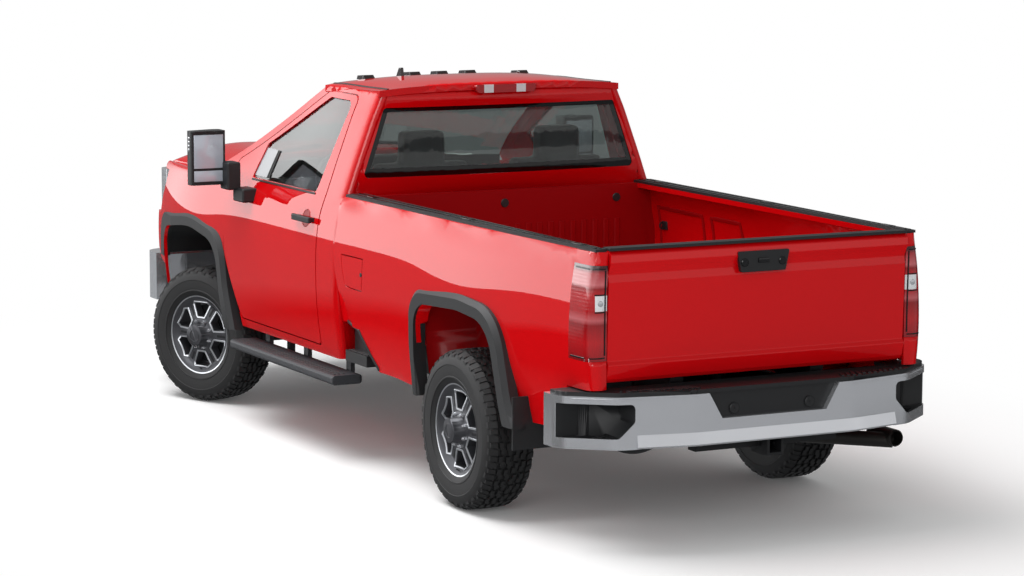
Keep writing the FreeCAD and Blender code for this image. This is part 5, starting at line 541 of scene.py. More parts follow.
def drum(shape, place, way, radius, depth, top=None, sides=32):
    """A round or many-sided plug that stands on a place along a direction."""
    top = radius if top is None else top
    bmesh.ops.create_cone(shape, cap_ends=True, segments=sides, radius1=radius, radius2=top, depth=depth,
                          matrix=facing(place, way) @ Matrix.Translation((0, 0, depth / 2)))


def turn(shape, profile, matrix, steps=96):
    """Spin a closed (radius, along) profile about the z axis of a matrix."""
    made = [shape.verts.new((radius, 0, along)) for radius, along in profile]
    edges = [shape.edges.new((made[k - 1], made[k])) for k in range(len(made))]
    before = set(shape.verts) - set(made)
    bmesh.ops.spin(shape, geom=made + edges, cent=(0, 0, 0), axis=(0, 0, 1), angle=math.tau, steps=steps,
                   use_merge=True)
    bmesh.ops.transform(shape, matrix=matrix, verts=[v for v in shape.verts if v not in before])


def plate(shape, corners, normal, thick):
    """A flat plate with the given corners, thick along the normal."""
    base = shape.faces.new([shape.verts.new(Vector(corner)) for corner in corners])
    lifted = bmesh.ops.extrude_face_region(shape, geom=[base], use_keep_orig=True)["geom"]
    bmesh.ops.translate(shape, vec=Vector(normal).normalized() * thick,
                        verts=[v for v in lifted if isinstance(v, bmesh.types.BMVert)])


def piece(name, shape, body, slot_name, finish=None, degrees=30):
    """Close a bmesh into a piece that rides on a body, in its slot's finish unless another is given."""
    bmesh.ops.recalc_face_normals(shape, faces=shape.faces)
    mesh = bpy.data.meshes.new(name)
    shape.to_mesh(mesh)
    shape.free()
    shade_by_angle(mesh, degrees)
    print(name, len(mesh.polygons), "faces")
    return put(bpy.data.objects.new(name, mesh), body, finish or finish_of_slot[slot_name])


# %% [markdown]
# ## Wheel space
# Tyres, frames and nuts are all drawn about an axle and then stood on the truck. Each wheel's joint gives its
# centre and axle, the front ones turned with the steering, so one matrix a wheel carries everything drawn in
# its own space.

# %% Wheel space
RIM_OUTSIDE = 0.3
wheels = {}
for name in ("rear_left", "rear_right", "front_left", "front_right"):
    hub = joints["wheel_" + name]
    wheels[name] = facing(Vector(hub["pos_m"]), Vector(hub["axis"]) * SIDES[name.split("_")[1]])


def onto_rim(matrix, angle, reach, aside=0.0):
    """A ray onto a wheel's face at a reach from its centre, turned by an angle."""
    start = matrix @ Matrix.Rotation(angle, 4, "Z") @ Vector((reach, aside, RIM_OUTSIDE))
    return start, -matrix.to_3x3().col[2].normalized()


print("wheels", {name: [round(v, 3) for v in matrix.translation] for name, matrix in wheels.items()})

# %% [markdown]
# ## Tyres
# An all-terrain tyre is a smooth carcass with blocks of rubber round it: two zig-zag rows in the middle on
# each side of the centre, and shoulder blocks that wrap over the edge and bite in soft ground. The tread
# repeats 36 times round the tyre. The outline of each block is drawn flat, in shares of that pitch and
# millimetres across, and wrapped round the wheel. The carcass is half a section, mirrored and spun.

# %% Tyres
PITCHES = 36
BLOCK_FOOT, TREAD_RADIUS = 0.389, 0.405
FOOT_SPREAD, TOP_TAPER = 1.04, 0.94
block_outlines = (
    [(0.02, 4), (0.46, 4), (0.56, 17), (0.92, 17), (0.92, 37), (0.44, 37), (0.34, 26), (0.02, 26)],
    [(0.12, 43), (0.50, 43), (0.60, 54), (0.98, 54), (0.98, 76), (0.52, 76), (0.42, 66), (0.12, 66)],
    [(0.00, 82), (0.40, 82), (0.52, 90), (0.52, 127), (0.05, 127)],
    [(0.58, 84), (0.90, 84), (0.96, 92), (0.96, 119), (0.62, 119)],
)
half_tyre = [(0.226, 0.108), (0.238, 0.119), (0.246, 0.124), (0.262, 0.1305), (0.264, 0.1345), (0.270, 0.135),
             (0.273, 0.133), (0.300, 0.1355), (0.328, 0.135), (0.331, 0.137), (0.335, 0.1365), (0.352, 0.132),
             (0.368, 0.127), (0.380, 0.119), (0.388, 0.110), (0.3915, 0.098), (0.3925, 0.05)]
inner_wall = [(0.232, -0.095), (0.250, 0.0), (0.232, 0.095)]


def crown(across, radius):
    """Radius of a tread surface at a distance from its centre line."""
    return radius - 0.003 * (across / 0.1) ** 2 - 1.1 * max(0.0, abs(across) - 0.108)


def tread_block(shape, outline, side, pitch, matrix):
    """One block of rubber wrapped round the carcass."""
    rings = []
    middle = [sum(v) / len(outline) for v in zip(*outline)]
    for radius, ease in ((BLOCK_FOOT, FOOT_SPREAD), (TREAD_RADIUS, TOP_TAPER)):
        ring = []
        for share, across in outline:
            angle = math.tau * (pitch + middle[0] + (share - middle[0]) * ease) / PITCHES
            out = (middle[1] + (across - middle[1]) * ease) / 1000
            reach = crown(out, radius)
            ring.append(shape.verts.new(matrix @ Vector((math.cos(angle) * reach, math.sin(angle) * reach,
                                                         side * out))))
        rings.append(ring)
    foot, top = rings
    shape.faces.new(foot)
    shape.faces.new(list(reversed(top)))
    for k in range(len(outline)):
        shape.faces.new((foot[k - 1], foot[k], top[k], top[k - 1]))


for name, matrix in wheels.items():
    shape = bmesh.new()
    turn(shape, half_tyre + [(r, -a) for r, a in reversed(half_tyre)] + inner_wall, matrix, steps=120)
    for k in range(PITCHES):
        for side, stagger in ((1, 0.0), (-1, 0.5)):
            for outline in block_outlines:
                tread_block(shape, outline, side, k + stagger, matrix)
    tyre = piece("all_terrain_tyre_" + name, shape, "wheel_" + name, "tyre", degrees=32)
    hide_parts("tyre_" + name)

# %% [markdown]
# ## Wheels
# The cast wheels are painted grey and then turned on a lathe, so only what stands proud and faces outward is
# bright: the rim's lip and the frames of the six windows. The lip is picked out by its faces, and the frames
# are strips laid round each window. Down each spoke between them, a low dark strip stands for the groove
# there: painted shade in place of the groove's depth.

# %% Turned faces
LIP_RADIUS, LIP_DEPTH = 0.226, 0.09
SPOKES = 6
half_window = [(0.102, -0.030), (0.176, -0.068), (0.196, -0.054)]
window_edge = half_window + [(reach, -aside) for reach, aside in reversed(half_window)]


def turn_the_lip(rim, back):
    """Show the outward faces near the rim's edge as bare metal."""
    rim.data.materials.append(turned)
    for face in rim.data.polygons:
        middle = back @ face.center
        proud = (back.to_3x3() @ face.normal).z > 0.6 and middle.z > LIP_DEPTH
        face.material_index = 1 if proud and middle.xy.length > LIP_RADIUS else 0


def window_frames(name, matrix, upright):
    """Bright frames round the windows, and dark strips down the spokes as painted shade for each spoke's
    groove.
    """
    frames, groove_shade = bmesh.new(), bmesh.new()
    for k in range(SPOKES):
        angle = upright + math.tau * k / SPOKES
        window = [(matrix, angle, *p) for p in round_trip(window_edge, [5])]
        strip(frames, "rim_" + name, onto_rim, window, bar(0.0105, 0.005, 0.004), closed=True)
        # A raised dark strip, not a recess: painted shade for the spoke's groove.
        spoke = [(matrix, angle + math.pi / SPOKES, *p) for p in run((0.128, 0), (0.184, 0), 5)]
        strip(groove_shade, "rim_" + name, onto_rim, spoke, bar(0.015, 0.0015, 0.002))
    piece("turned_window_frames_" + name, frames, "wheel_" + name, "machined_aluminium", turned)
    piece("spoke_groove_painted_shade_" + name, groove_shade, "wheel_" + name, "machined_aluminium", iron)


# %% [markdown]
# Eight nuts with plated covers hold each wheel. A thin ring edges the plain centre cap, and the valve's stem
# leans out between two spokes.

# %% Nuts, cap ring and valve
NUTS, NUT_CIRCLE = 8, 0.0825


def wheel_nuts(name, matrix, outward):
    """Nuts, each a hexagon under a round cover."""
    nuts = bmesh.new()
    circle = [onto_rim(matrix, math.tau * (k + 0.5) / NUTS, NUT_CIRCLE) for k in range(NUTS)]
    for seat, _ in met("rim_" + name, circle):
        drum(nuts, seat - outward * 0.002, outward, 0.0105, 0.020, 0.0100, sides=6)
        drum(nuts, seat + outward * 0.018, outward, 0.0085, 0.010, 0.0055, sides=18)
    piece("wheel_nuts_" + name, nuts, "wheel_" + name, "chrome")


def cap_ring_and_valve(name, matrix, outward):
    """A ring on the cap and a stem for air."""
    ring = bmesh.new()
    for cap, _ in met("rim_" + name, [onto_rim(matrix, 0.0, 0.0)]):
        turn(ring, [(0.034, -0.004), (0.034, 0.0012), (0.036, 0.002), (0.038, 0.0012), (0.038, -0.004)],
             matrix @ Matrix.Translation((0, 0, (matrix.inverted() @ cap).z)), 64)
    stem = matrix @ Vector((0.0, -0.212, 0.086))
    drum(ring, stem, outward + matrix.to_3x3() @ Vector((0, 0.4, 0)), 0.004, 0.036, 0.0035, 16)
    piece("cap_ring_and_valve_" + name, ring, "wheel_" + name, "machined_aluminium")


for name, matrix in wheels.items():
    back = matrix.inverted()
    outward = matrix.to_3x3().col[2].normalized()
    up = back.to_3x3() @ Vector((0, 0, 1))
    turn_the_lip(panels["rim_" + name], back)
    window_frames(name, matrix, math.atan2(up.y, up.x))
    wheel_nuts(name, matrix, outward)
    cap_ring_and_valve(name, matrix, outward)

# %% [markdown]
# ## Seats
# The seat solids are plain, so each cushion is remeshed and relaxed until its edges round over as stuffed
# cloth does.

# %% Seats
for node in ("seat_backs", "seat_cushions"):
    cushion = bpy.data.objects.new("padded_" + node, merged_mesh(node, 0.0001))
    put(cushion, "chassis", cloth)
    stuffing = cushion.modifiers.new("stuffing", "REMESH")
    stuffing.mode = "VOXEL"
    stuffing.voxel_size = 0.014
    relax = cushion.modifiers.new("relaxed_cloth", "SMOOTH")
    relax.factor = 0.5
    relax.iterations = 10
    graph = bpy.context.evaluated_depsgraph_get()
    padded_mesh = bpy.data.meshes.new_from_object(cushion.evaluated_get(graph))
    cushion.modifiers.clear()
    cushion.data = padded_mesh
    padded_mesh.materials.clear()
    padded_mesh.materials.append(cloth)
    padded_mesh.polygons.foreach_set("use_smooth", [True] * len(padded_mesh.polygons))
    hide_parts(node)
    print(node, len(padded_mesh.polygons), "faces")

# %% [markdown]
# ## Pressed ribs
# Ribs pressed into thin steel stiffen the load bed: long ones along the floor, upright ones on its front
# wall, and three framed panels inside each box side. Each is a chamfered bar laid on the sheet, because the
# ribs' edges are what catches the light.

# %% Pressed ribs
BED_EYE, WALL_EYE = 1.3, -0.6
FLOOR_RIBS, FLOOR_PITCH = 15, 0.08
WALL_RIBS, WALL_PITCH = 21, 0.07
PANEL_FOOT, PANEL_TOP = 1.02, 1.30
ribs = bmesh.new()
for k in range(FLOOR_RIBS):
    across = (k - FLOOR_RIBS // 2) * FLOOR_PITCH
    rib = run((-2.72, across, BED_EYE), (-0.17, across, BED_EYE), 12)
    strip(ribs, "box_floor", above, rib, bar(0.044, 0.009))
for k in range(WALL_RIBS):
    across = (k - WALL_RIBS // 2) * WALL_PITCH
    rib = run((across, 0.93, WALL_EYE), (across, 1.24, WALL_EYE), 7)
    strip(ribs, "box_floor", behind, rib, bar(0.034, 0.008))
for side in SIDES.values():
    for rear, front in ((-0.75, -0.25), (-1.15, -0.85), (-2.62, -2.20)):
        corners = [(side, rear, PANEL_FOOT), (side, front, PANEL_FOOT), (side, front, PANEL_TOP),
                   (side, rear, PANEL_TOP)]
        strip(ribs, "box_sides", onto_bed_side, round_trip(corners, (6, 4)), bar(0.022, 0.006), closed=True)
# The ribs take the bed's darker red, which is painted shade.
piece("pressed_ribs", ribs, "chassis", "red_paint", shaded_red_paint, degrees=24)

# %% [markdown]
# ## Plugs and tie-downs
# Two black plugs close the front wall's holes. Eight tie-downs, a plate with a ring, hold the load's straps.

# %% Plugs and tie-downs
fittings = bmesh.new()
for seat, _ in met("box_floor", [behind(across, 1.358, WALL_EYE) for across in (0.006, -0.697)]):
    drum(fittings, seat + Vector((0.002, 0, 0)), (-1, 0, 0), 0.026, 0.008, 0.022, 24)
plate_half = Vector((0.030, 0.006, 0.024))
for side in SIDES.values():
    rays = [onto_bed_side(side, along, height) for height in (1.20, 0.95) for along in (-0.30, -2.66)]
    for seat, _ in met("box_sides", rays):
        brick(fittings, seat - plate_half, seat + plate_half, 0.003)
        turn(fittings, [(0.016, -0.004), (0.024, -0.004), (0.024, 0.004), (0.016, 0.004)],
             facing(seat - Vector((0, side * 0.014, 0)), (1, 0, 0)), 24)
piece("plugs_and_tie_downs", fittings, "chassis", "black_plastic")

# %% [markdown]
# ## Rail caps
# A black cap covers each rail of the box. It has two raised lines, and lids over the stake pockets. The cap
# narrows forward, so the lines are placed by shares of the flat width that rays find on its top.

# %% Rail caps
cap_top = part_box("rail_caps")[1][2] - 0.006
LID_LENGTH, LID_WIDTH, LID_FOOT, LID_TOP = 0.10, 0.032, 1.444, 1.4515
lines = bmesh.new()


def flat_of_cap(side, along):
    """How far out a rail cap's flat top starts and ends, or nothing where there is no cap."""
    rays = [above(along, side * aside / 1000) for aside in range(780, 960, 4)]
    flat = [abs(place.y) for place, _ in met("rail_caps", rays) if place.z > cap_top]
    return [(flat[0], flat[-1])] if flat else []


for side in SIDES.values():
    for share in (0.28, 0.72):
        path = [(along, side * (inner + (outer - inner) * share))
                for along in (-2.80, -2.4, -2.0, -1.6, -1.2, -0.8, -0.4, -0.13)
                for inner, outer in flat_of_cap(side, along)]
        strip(lines, "rail_caps", above, path, bar(0.012, 0.0035))
    for along in (-0.33, -1.47, -2.62):
        for inner, outer in flat_of_cap(side, along):
            middle = side * (inner + outer) / 2
            brick(lines, (along - LID_LENGTH / 2, middle - LID_WIDTH / 2, LID_FOOT),
                  (along + LID_LENGTH / 2, middle + LID_WIDTH / 2, LID_TOP), 0.002)
piece("rail_cap_lines_and_covers", lines, "chassis", "black_plastic", smooth_black)

# %% [markdown]
# ## Rear bumper
# The pads on the bumper have slanted ribs and the corner steps a tread of short bars, so that a wet shoe
# holds. Two round covers sit beside a plain framed recess. The plated face has a fold along its lower edge
# and a fine lip under the pads.

# %% Bumper treads
PAD_RIB_STEP, STEP_BAR_STEP = 0.032, 0.026
POCKET_EYE, STEP_TOP = 0.69, 0.62
RECESS_HALF, RECESS_FOOT, RECESS_TOP = 0.165, 0.59, 0.74
treads = bmesh.new()
for side in SIDES.values():
    for k in range(17):
        inner = 0.40 + k * PAD_RIB_STEP
        rib = run((-2.955, side * inner), (-2.88, side * (inner + 0.030)), 4)
        strip(treads, "bumper_pads", above, rib, bar(0.015, 0.007))
    for k in range(9):
        across = side * (0.76 + k * STEP_BAR_STEP)
        pairs = met("bumper_pads", [above(*p, POCKET_EYE) for p in run((-2.93, across), (-2.80, across), 6)])
        if all(normal.z > 0.9 and place.z < STEP_TOP for place, normal in pairs):
            sweep(treads, pairs, bar(0.008, 0.004))
    for seat, _ in met("bumper_pads", [behind(side * 0.21, 0.668)]):
        turn(treads, [(0.0, -0.002), (0.027, -0.002), (0.027, 0.007), (0.023, 0.010), (0.0, 0.010)],
             facing(seat, (-1, 0, 0)), 40)
        drum(treads, seat + Vector((-0.009, 0, 0)), (-1, 0, 0), 0.006, 0.004, 0.005, 16)
recess = round_trip([(-RECESS_HALF, RECESS_FOOT), (RECESS_HALF, RECESS_FOOT), (RECESS_HALF, RECESS_TOP),
                     (-RECESS_HALF, RECESS_TOP)], (5, 4))
strip(treads, "bumper_pads", behind, recess, bar(0.006, 0.003), closed=True)
piece("bumper_ribs_and_covers", treads, "chassis", "black_plastic")

# %% Bumper creases
creases = bmesh.new()
strip(creases, "rear_bumper", behind, run((-0.72, 0.545), (0.72, 0.545), 31),
      [(-0.036, -0.003), (-0.036, 0.012), (-0.028, 0.017), (0.028, 0.003), (0.030, -0.003)])
for side in SIDES.values():
    lip = run((side * 0.42, 0.742), (side * 0.985, 0.742), 16)
    strip(creases, "rear_bumper", behind, lip, bar(0.008, 0.003))
piece("bumper_creases", creases, "chassis", "chrome")

# %% [markdown]
# ## Exhaust tip
# The pipe ends in a wider sleeve with a rolled lip, spun as one section.

# %% Exhaust tip
tip = bmesh.new()
turn(tip, [(0.030, 0.0), (0.043, 0.0), (0.043, 0.20), (0.037, 0.21), (0.037, 0.03), (0.030, 0.03)],
     facing((-2.470, -0.905, 0.383), (-1, 0, 0)), 48)
piece("exhaust_tip", tip, "chassis", "steel")

# %% [markdown]
# ## Tailgate handle
# A push plate sits in the middle of the handle's bezel, with a round lock and a camera's plain cover beside
# it.

# %% Tailgate handle
details = bmesh.new()
for seat, normal in met("tailgate_trim", [behind(across, 1.345) for across in (0.105, -0.105)]):
    turn(details, [(0.0, -0.001), (0.020, -0.001), (0.020, 0.004), (0.017, 0.006), (0.0, 0.006)],
         facing(seat, normal), 32)
for seat, _ in met("tailgate_trim", [behind(0.0, 1.352)]):
    brick(details, seat + Vector((-0.006, -0.030, -0.012)), seat + Vector((0.002, 0.030, 0.012)), 0.002)
piece("tailgate_handle_details", details, "tailgate", "black_plastic", smooth_black)

# %% [markdown]
# ## Tail lamp trim
# A black bezel edges each lamp on its rear face, frames the reversing window and runs on round the corner. A
# bulb housing shows through the window.

# %% Tail lamp trim
LAMP_INNER, LAMP_OUTER, WINDOW_OUTER = 0.846, 0.922, 0.900
lamp_foot, lamp_crest = lamp_low[2] + 0.015, lamp_high[2] - 0.017
bezels, bulbs = bmesh.new(), bmesh.new()
for side in SIDES.values():
    upright = run((side * LAMP_INNER, 0.945), (side * LAMP_INNER, 1.345), 16)
    strip(bezels, "tail_lamps", behind, upright, bar(0.007, 0.004))
    for height, outer in ((lamp_foot, LAMP_OUTER), (lamp_crest, LAMP_OUTER),
                          (REVERSE_FOOT - 0.005, WINDOW_OUTER), (REVERSE_TOP + 0.004, WINDOW_OUTER)):
        edge = run((side * LAMP_INNER, height), (side * outer, height), 8)
        strip(bezels, "tail_lamps", behind, edge, bar(0.006, 0.003))
    for height in (lamp_foot, lamp_crest):
        edge = run((side, -2.80, height), (side, -2.68, height), 8)
        strip(bezels, "tail_lamps", beside, edge, bar(0.007, 0.003))
    for seat, normal in met("tail_lamps", [behind(side * 0.872, 1.191)]):
        turn(bulbs, [(0.0, -0.002), (0.014, -0.002), (0.014, 0.001), (0.010, 0.0025), (0.0, 0.003)],
             facing(seat, normal), 32)
piece("tail_lamp_bezels", bezels, "chassis", "gloss_black")
piece("reversing_lamp_bulbs", bulbs, "chassis", "lamp_clear")

# %% [markdown]
# ## Mirrors
# Tow mirrors hold two glasses, a tall flat one above a curved one, and four small marker lamps on the head's
# side.

# %% Mirrors
GLASS_INNER, GLASS_OUTER = 1.116, 1.294
FLAT_GLASS, CURVED_GLASS = (1.478, 1.670), (1.402, 1.464)
marker_half = Vector((0.012, 0.002, 0.008))
for label, side in SIDES.items():
    node, body = "mirror_handle_" + label, "door_" + label
    glasses, markers = bmesh.new(), bmesh.new()
    for low, high in (FLAT_GLASS, CURVED_GLASS):
        corners = [behind(side * across, height, 0.9)
                   for across in (GLASS_INNER, GLASS_OUTER) for height in (low, high)]
        seats = met(node, corners)
        if len(seats) == len(corners):
            face = max(place.x for place, _ in seats)
            inner, outer = sorted((side * GLASS_INNER, side * GLASS_OUTER))
            brick(glasses, (face - 0.004, inner, low), (face + 0.002, outer, high), 0.0015)
    for seat, _ in met(node, [beside(side, 1.255, 1.585 + k * 0.022) for k in range(4)]):
        brick(markers, seat - marker_half, seat + marker_half, 0.0015)
    # The mirror glass's pale grey is painted reflection.
    piece("mirror_glass_" + label, glasses, body, "chrome", mirror)
    piece("mirror_marker_lamps_" + label, markers, body, "lamp_clear")

# %% [markdown]
# ## Weather strips and sail panels
# A rubber strip wipes the glass along the belt, and a black bar divides it from the fixed corner at the foot
# of the front pillar, which a grey sail panel fills. The glass's slanting front edge is found by rays, a
# level at a time, and the panel is built in slices between the levels.

# %% Weather strips and sail panels
DIVIDER, DIVIDER_GAP = 0.990, 0.022
BELT, PANE_FOOT, PANE_TOP = 1.412, 1.432, 1.585
for label, side in SIDES.items():
    body, glass = "door_" + label, "door_glass_" + label
    strips, sail = bmesh.new(), bmesh.new()
    strip(strips, body, beside, run((side, 0.27, BELT), (side, 1.17, BELT), 14), bar(0.011, 0.004))
    front_edge = []
    for k in range(8):
        height = PANE_FOOT + k * 0.022
        found = met(glass, [beside(side, along / 1000, height) for along in range(1240, 980, -4)])
        if found:
            front_edge.append((found[0][0].x, height))
    for (low_x, low_z), (high_x, high_z) in zip(front_edge, front_edge[1:]):
        corners = met(glass, [beside(side, low_x - 0.00001, low_z), beside(side, DIVIDER, low_z),
                              beside(side, DIVIDER, high_z), beside(side, high_x - 0.00001, high_z)])
        if len(corners) == 4 and high_x > 1.0:
            plate(sail, [place for place, _ in corners], corners[0][1], 0.004)
    bmesh.ops.remove_doubles(sail, verts=sail.verts, dist=0.0005)
    piece("sail_panel_" + label, sail, body, "trim_grey", sail_grey)
    for along in (DIVIDER, DIVIDER - DIVIDER_GAP):
        upright = run((side, along, PANE_FOOT), (side, along, PANE_TOP), 8)
        strip(strips, glass, beside, upright, bar(0.014, 0.006))
    piece("weather_strips_" + label, strips, body, "gloss_black", seal)

# %% [markdown]
# ## Drip mouldings
# A thin black moulding hides the welded seam along each side of the roof.

# %% Drip mouldings
mouldings = bmesh.new()
for side in SIDES.values():
    strip(mouldings, "roof", above, run((-0.10, side * 0.685), (0.66, side * 0.685), 16), bar(0.014, 0.005))
piece("drip_mouldings", mouldings, "chassis", "gloss_black", seal)

# %% [markdown]
# ## Side steps and running boards
# A moulding frames the notch in each box side, a dark plate closes it behind the step, and bars give both
# steps a grip. The notch's slanting edge is found by rays, a level at a time, as on the sail panel.

# %% Side steps
NOTCH_SKIN, NOTCH_FOOT, NOTCH_LEVEL = 0.95, 0.556, 0.024
PLATE_HALF, PLATE_REAR, PLATE_FRONT, PLATE_FOOT, PLATE_TOP = 0.900, -0.62, -0.135, 0.56, 0.77
frames = bmesh.new()
for side in SIDES.values():
    edge = []
    for k in range(9):
        height = NOTCH_FOOT + k * NOTCH_LEVEL
        found = [place.x for place, _ in met("box_sides", [beside(side, along / 1000, height)
                                                           for along in range(-200, -800, -4)])
                 if abs(place.y) > NOTCH_SKIN]
        if found and found[0] < -0.21:
            edge.append((side, found[0] - 0.010, height))
    if len(edge) > 2:
        edge.append((side, -0.16, edge[-1][2] + 0.012))
        strip(frames, "box_sides", beside, edge, bar(0.016, 0.006))
    plate(frames, [(along, side * PLATE_HALF, height) for along, height in
                   ((PLATE_FRONT, PLATE_FOOT), (PLATE_REAR, PLATE_FOOT), (PLATE_REAR, PLATE_TOP),
                    (PLATE_FRONT, PLATE_TOP))], (0, side, 0), 0.003)
for side in SIDES.values():
    for k in range(9):
        across = side * (0.80 + k * 0.018)
        strip(frames, "box_steps", above, run((-0.40, across), (-0.16, across), 5), bar(0.007, 0.004))
piece("side_step_frames_and_treads", frames, "chassis", "black_plastic")

# %% Running boards
boards = bmesh.new()
for side in SIDES.values():
    for k in range(3):
        across = side * (0.995 + k * 0.026)
        strip(boards, "running_boards", above, run((-0.19, across), (1.19, across), 24), bar(0.010, 0.003))
piece("running_board_treads", boards, "chassis", "black_plastic")

# %% [markdown]
# ## Fuel door notch
# The fuel door opens by a small rubber-lined notch in its rear edge, made as a low plug.

# %% Fuel door notch
notch = bmesh.new()
for seat, _ in met("fuel_door", [beside(1, -0.452, 1.05)]):
    drum(notch, seat + Vector((-0.004, -0.004, 0)), (0, 1, 0), 0.013, 0.006, 0.011, 24)
piece("fuel_door_notch", notch, "fuel_door", "gloss_black", seal)

# %% [markdown]
# ## The front
# Lamps are read by the round lenses inside them and a grille by what fills it. Neither is in the photograph,
# so they are the usual thing: two projectors a side, upright bars behind the cross bars, fog lamps, hooks and
# wipers.

# %% Headlamps and fog lamps
projector_ring = [(0.036, -0.006), (0.036, 0.007), (0.040, 0.010), (0.046, 0.007), (0.046, -0.006)]
projector_lens = [(0.0, -0.006), (0.036, -0.006), (0.034, 0.001), (0.024, 0.006), (0.012, 0.009),
                  (0.0, 0.010)]
fog_ring = [(0.044, -0.02), (0.044, 0.002), (0.052, 0.004), (0.060, 0.002), (0.060, -0.02)]
fog_lens = [(0.0, -0.02), (0.044, -0.02), (0.042, 0.0), (0.030, 0.004), (0.0, 0.007)]
PROJECTOR_ASIDE, PROJECTOR_LEVELS, BETWEEN_LEVEL = 0.790, (1.262, 1.148), 1.205
FOG_ASIDE, FOG_LEVEL = 0.640, 0.665
lenses, rings, dark = bmesh.new(), bmesh.new(), bmesh.new()
for side in SIDES.values():
    for seat, _ in met("headlamps", [ahead(side * PROJECTOR_ASIDE, level) for level in PROJECTOR_LEVELS]):
        turn(rings, projector_ring, facing(seat, (1, 0, 0)), 48)
        turn(lenses, projector_lens, facing(seat, (1, 0, 0)), 40)
    between = run((side * 0.70, BETWEEN_LEVEL), (side * 0.90, BETWEEN_LEVEL), 7)
    strip(dark, "headlamps", ahead, between, bar(0.014, 0.004))
    for seat, _ in met("front_bumper", [ahead(side * FOG_ASIDE, FOG_LEVEL)]):
        turn(dark, fog_ring, facing(seat, (1, 0, 0)), 48)
        turn(lenses, fog_lens, facing(seat, (1, 0, 0)), 40)
piece("projector_rings", rings, "chassis", "chrome")
piece("projector_and_fog_lenses", lenses, "chassis", "lamp_clear")

# %% Hooks, wipers and vents
for side in SIDES.values():
    for seat, _ in met("front_bumper", [ahead(side * 0.330, 0.585)]):
        turn(dark, [(0.016, -0.007), (0.016, 0.007), (0.030, 0.007), (0.030, -0.007)],
             facing(seat + Vector((-0.022, 0, 0)), (0, 1, 0)), 32)
    pivot = side * 0.12 + 0.18
    strip(dark, "windshield", above, run((1.66, pivot), (1.70, pivot + side * 0.50), 12), bar(0.014, 0.016))
    strip(dark, "hood", above, run((1.90, side * 0.50), (2.16, side * 0.56), 8), bar(0.050, 0.004))

# %% Grille and bumper slots
GRILLE_STEP, GRILLE_HALF, GRILLE_FOOT, GRILLE_TOP = 0.026, 0.002, 0.850, 1.318
for height in (0.640, 0.690):
    strip(dark, "front_bumper", ahead, run((-0.46, height), (0.46, height), 21), bar(0.040, 0.005))
depth = min(place.x for place, _ in met("grille", [ahead(0.012, 0.86 + k * 0.005) for k in range(90)]))
for k in range(-24, 25):
    middle = k * GRILLE_STEP
    brick(dark, (depth - 0.002, middle - GRILLE_HALF, GRILLE_FOOT),
          (depth + 0.012, middle + GRILLE_HALF, GRILLE_TOP))
piece("grille_bars_hooks_and_wipers", dark, "chassis", "gloss_black")

# %% [markdown]
# ## Handle cups
# Each door has a dished cup behind its handle so that fingers fit round it. The dish is drawn nearly flat,
# and its darker red is painted shade for its depth. Rays find how high the handle stands.

# %% Handle cups
HANDLE_ALONG = 0.30
cup_section = [(0.0, -0.001), (0.0, 0.0006), (0.044, 0.0006), (0.046, 0.0020), (0.049, 0.0020),
               (0.051, -0.001)]
for label, side in SIDES.items():
    levels = [1.10 + k * 0.004 for k in range(70)]
    grip = met("mirror_handle_" + label, [beside(side, HANDLE_ALONG, level) for level in levels])
    middle = (grip[0][0].z + grip[-1][0].z) / 2
    cup = bmesh.new()
    for seat, normal in met("door_" + label, [beside(side, HANDLE_ALONG, middle)]):
        turn(cup, cup_section, facing(seat, normal), 48)
    # The cup's darker red is painted shade for the depth of its dish.
    piece("handle_cup_with_painted_shade_" + label, cup, "door_" + label, "red_paint", shaded_red_paint)

# %% [markdown]
# ## The camera
# The photograph is taken from behind and to the left with a long lens from about sixteen metres, a little
# above roof height. A long lens keeps the truck's proportions true.

# %% Camera
camera_place = Vector((-15.525, 7.852, 3.252))
heading, dip, roll = (math.radians(v) for v in (-27.191, -7.815, 0.152))
forward = Vector((math.cos(dip) * math.cos(heading), math.cos(dip) * math.sin(heading), math.sin(dip)))
right = forward.cross(Vector((0, 0, 1))).normalized()
up = right.cross(forward)
axes = (right * math.cos(roll) + up * math.sin(roll), up * math.cos(roll) - right * math.sin(roll), -forward)
camera_data = bpy.data.cameras.new("studio_camera")
camera_data.lens = 110.57
camera_data.sensor_width = 36.0
camera_data.clip_end = 200.0
camera = bpy.data.objects.new("studio_camera", camera_data)
camera.matrix_world = Matrix.Translation(camera_place) @ Matrix(axes).transposed().to_4x4()
bpy.context.scene.collection.objects.link(camera)
bpy.context.scene.camera = camera
print("camera", [round(v, 3) for v in camera_place])

# %% [markdown]
# ## The studio
# A car studio is a white cove with a huge soft light above. The paint mirrors that light down to a crisp
# edge, and below it the dark gap between the light and the floor, which gives the body its two tones. The
# world does the mirrored part: a wall that is bright to the left and ahead, dimmer behind, and seen by glossy
# rays only. The camera sees plain white.

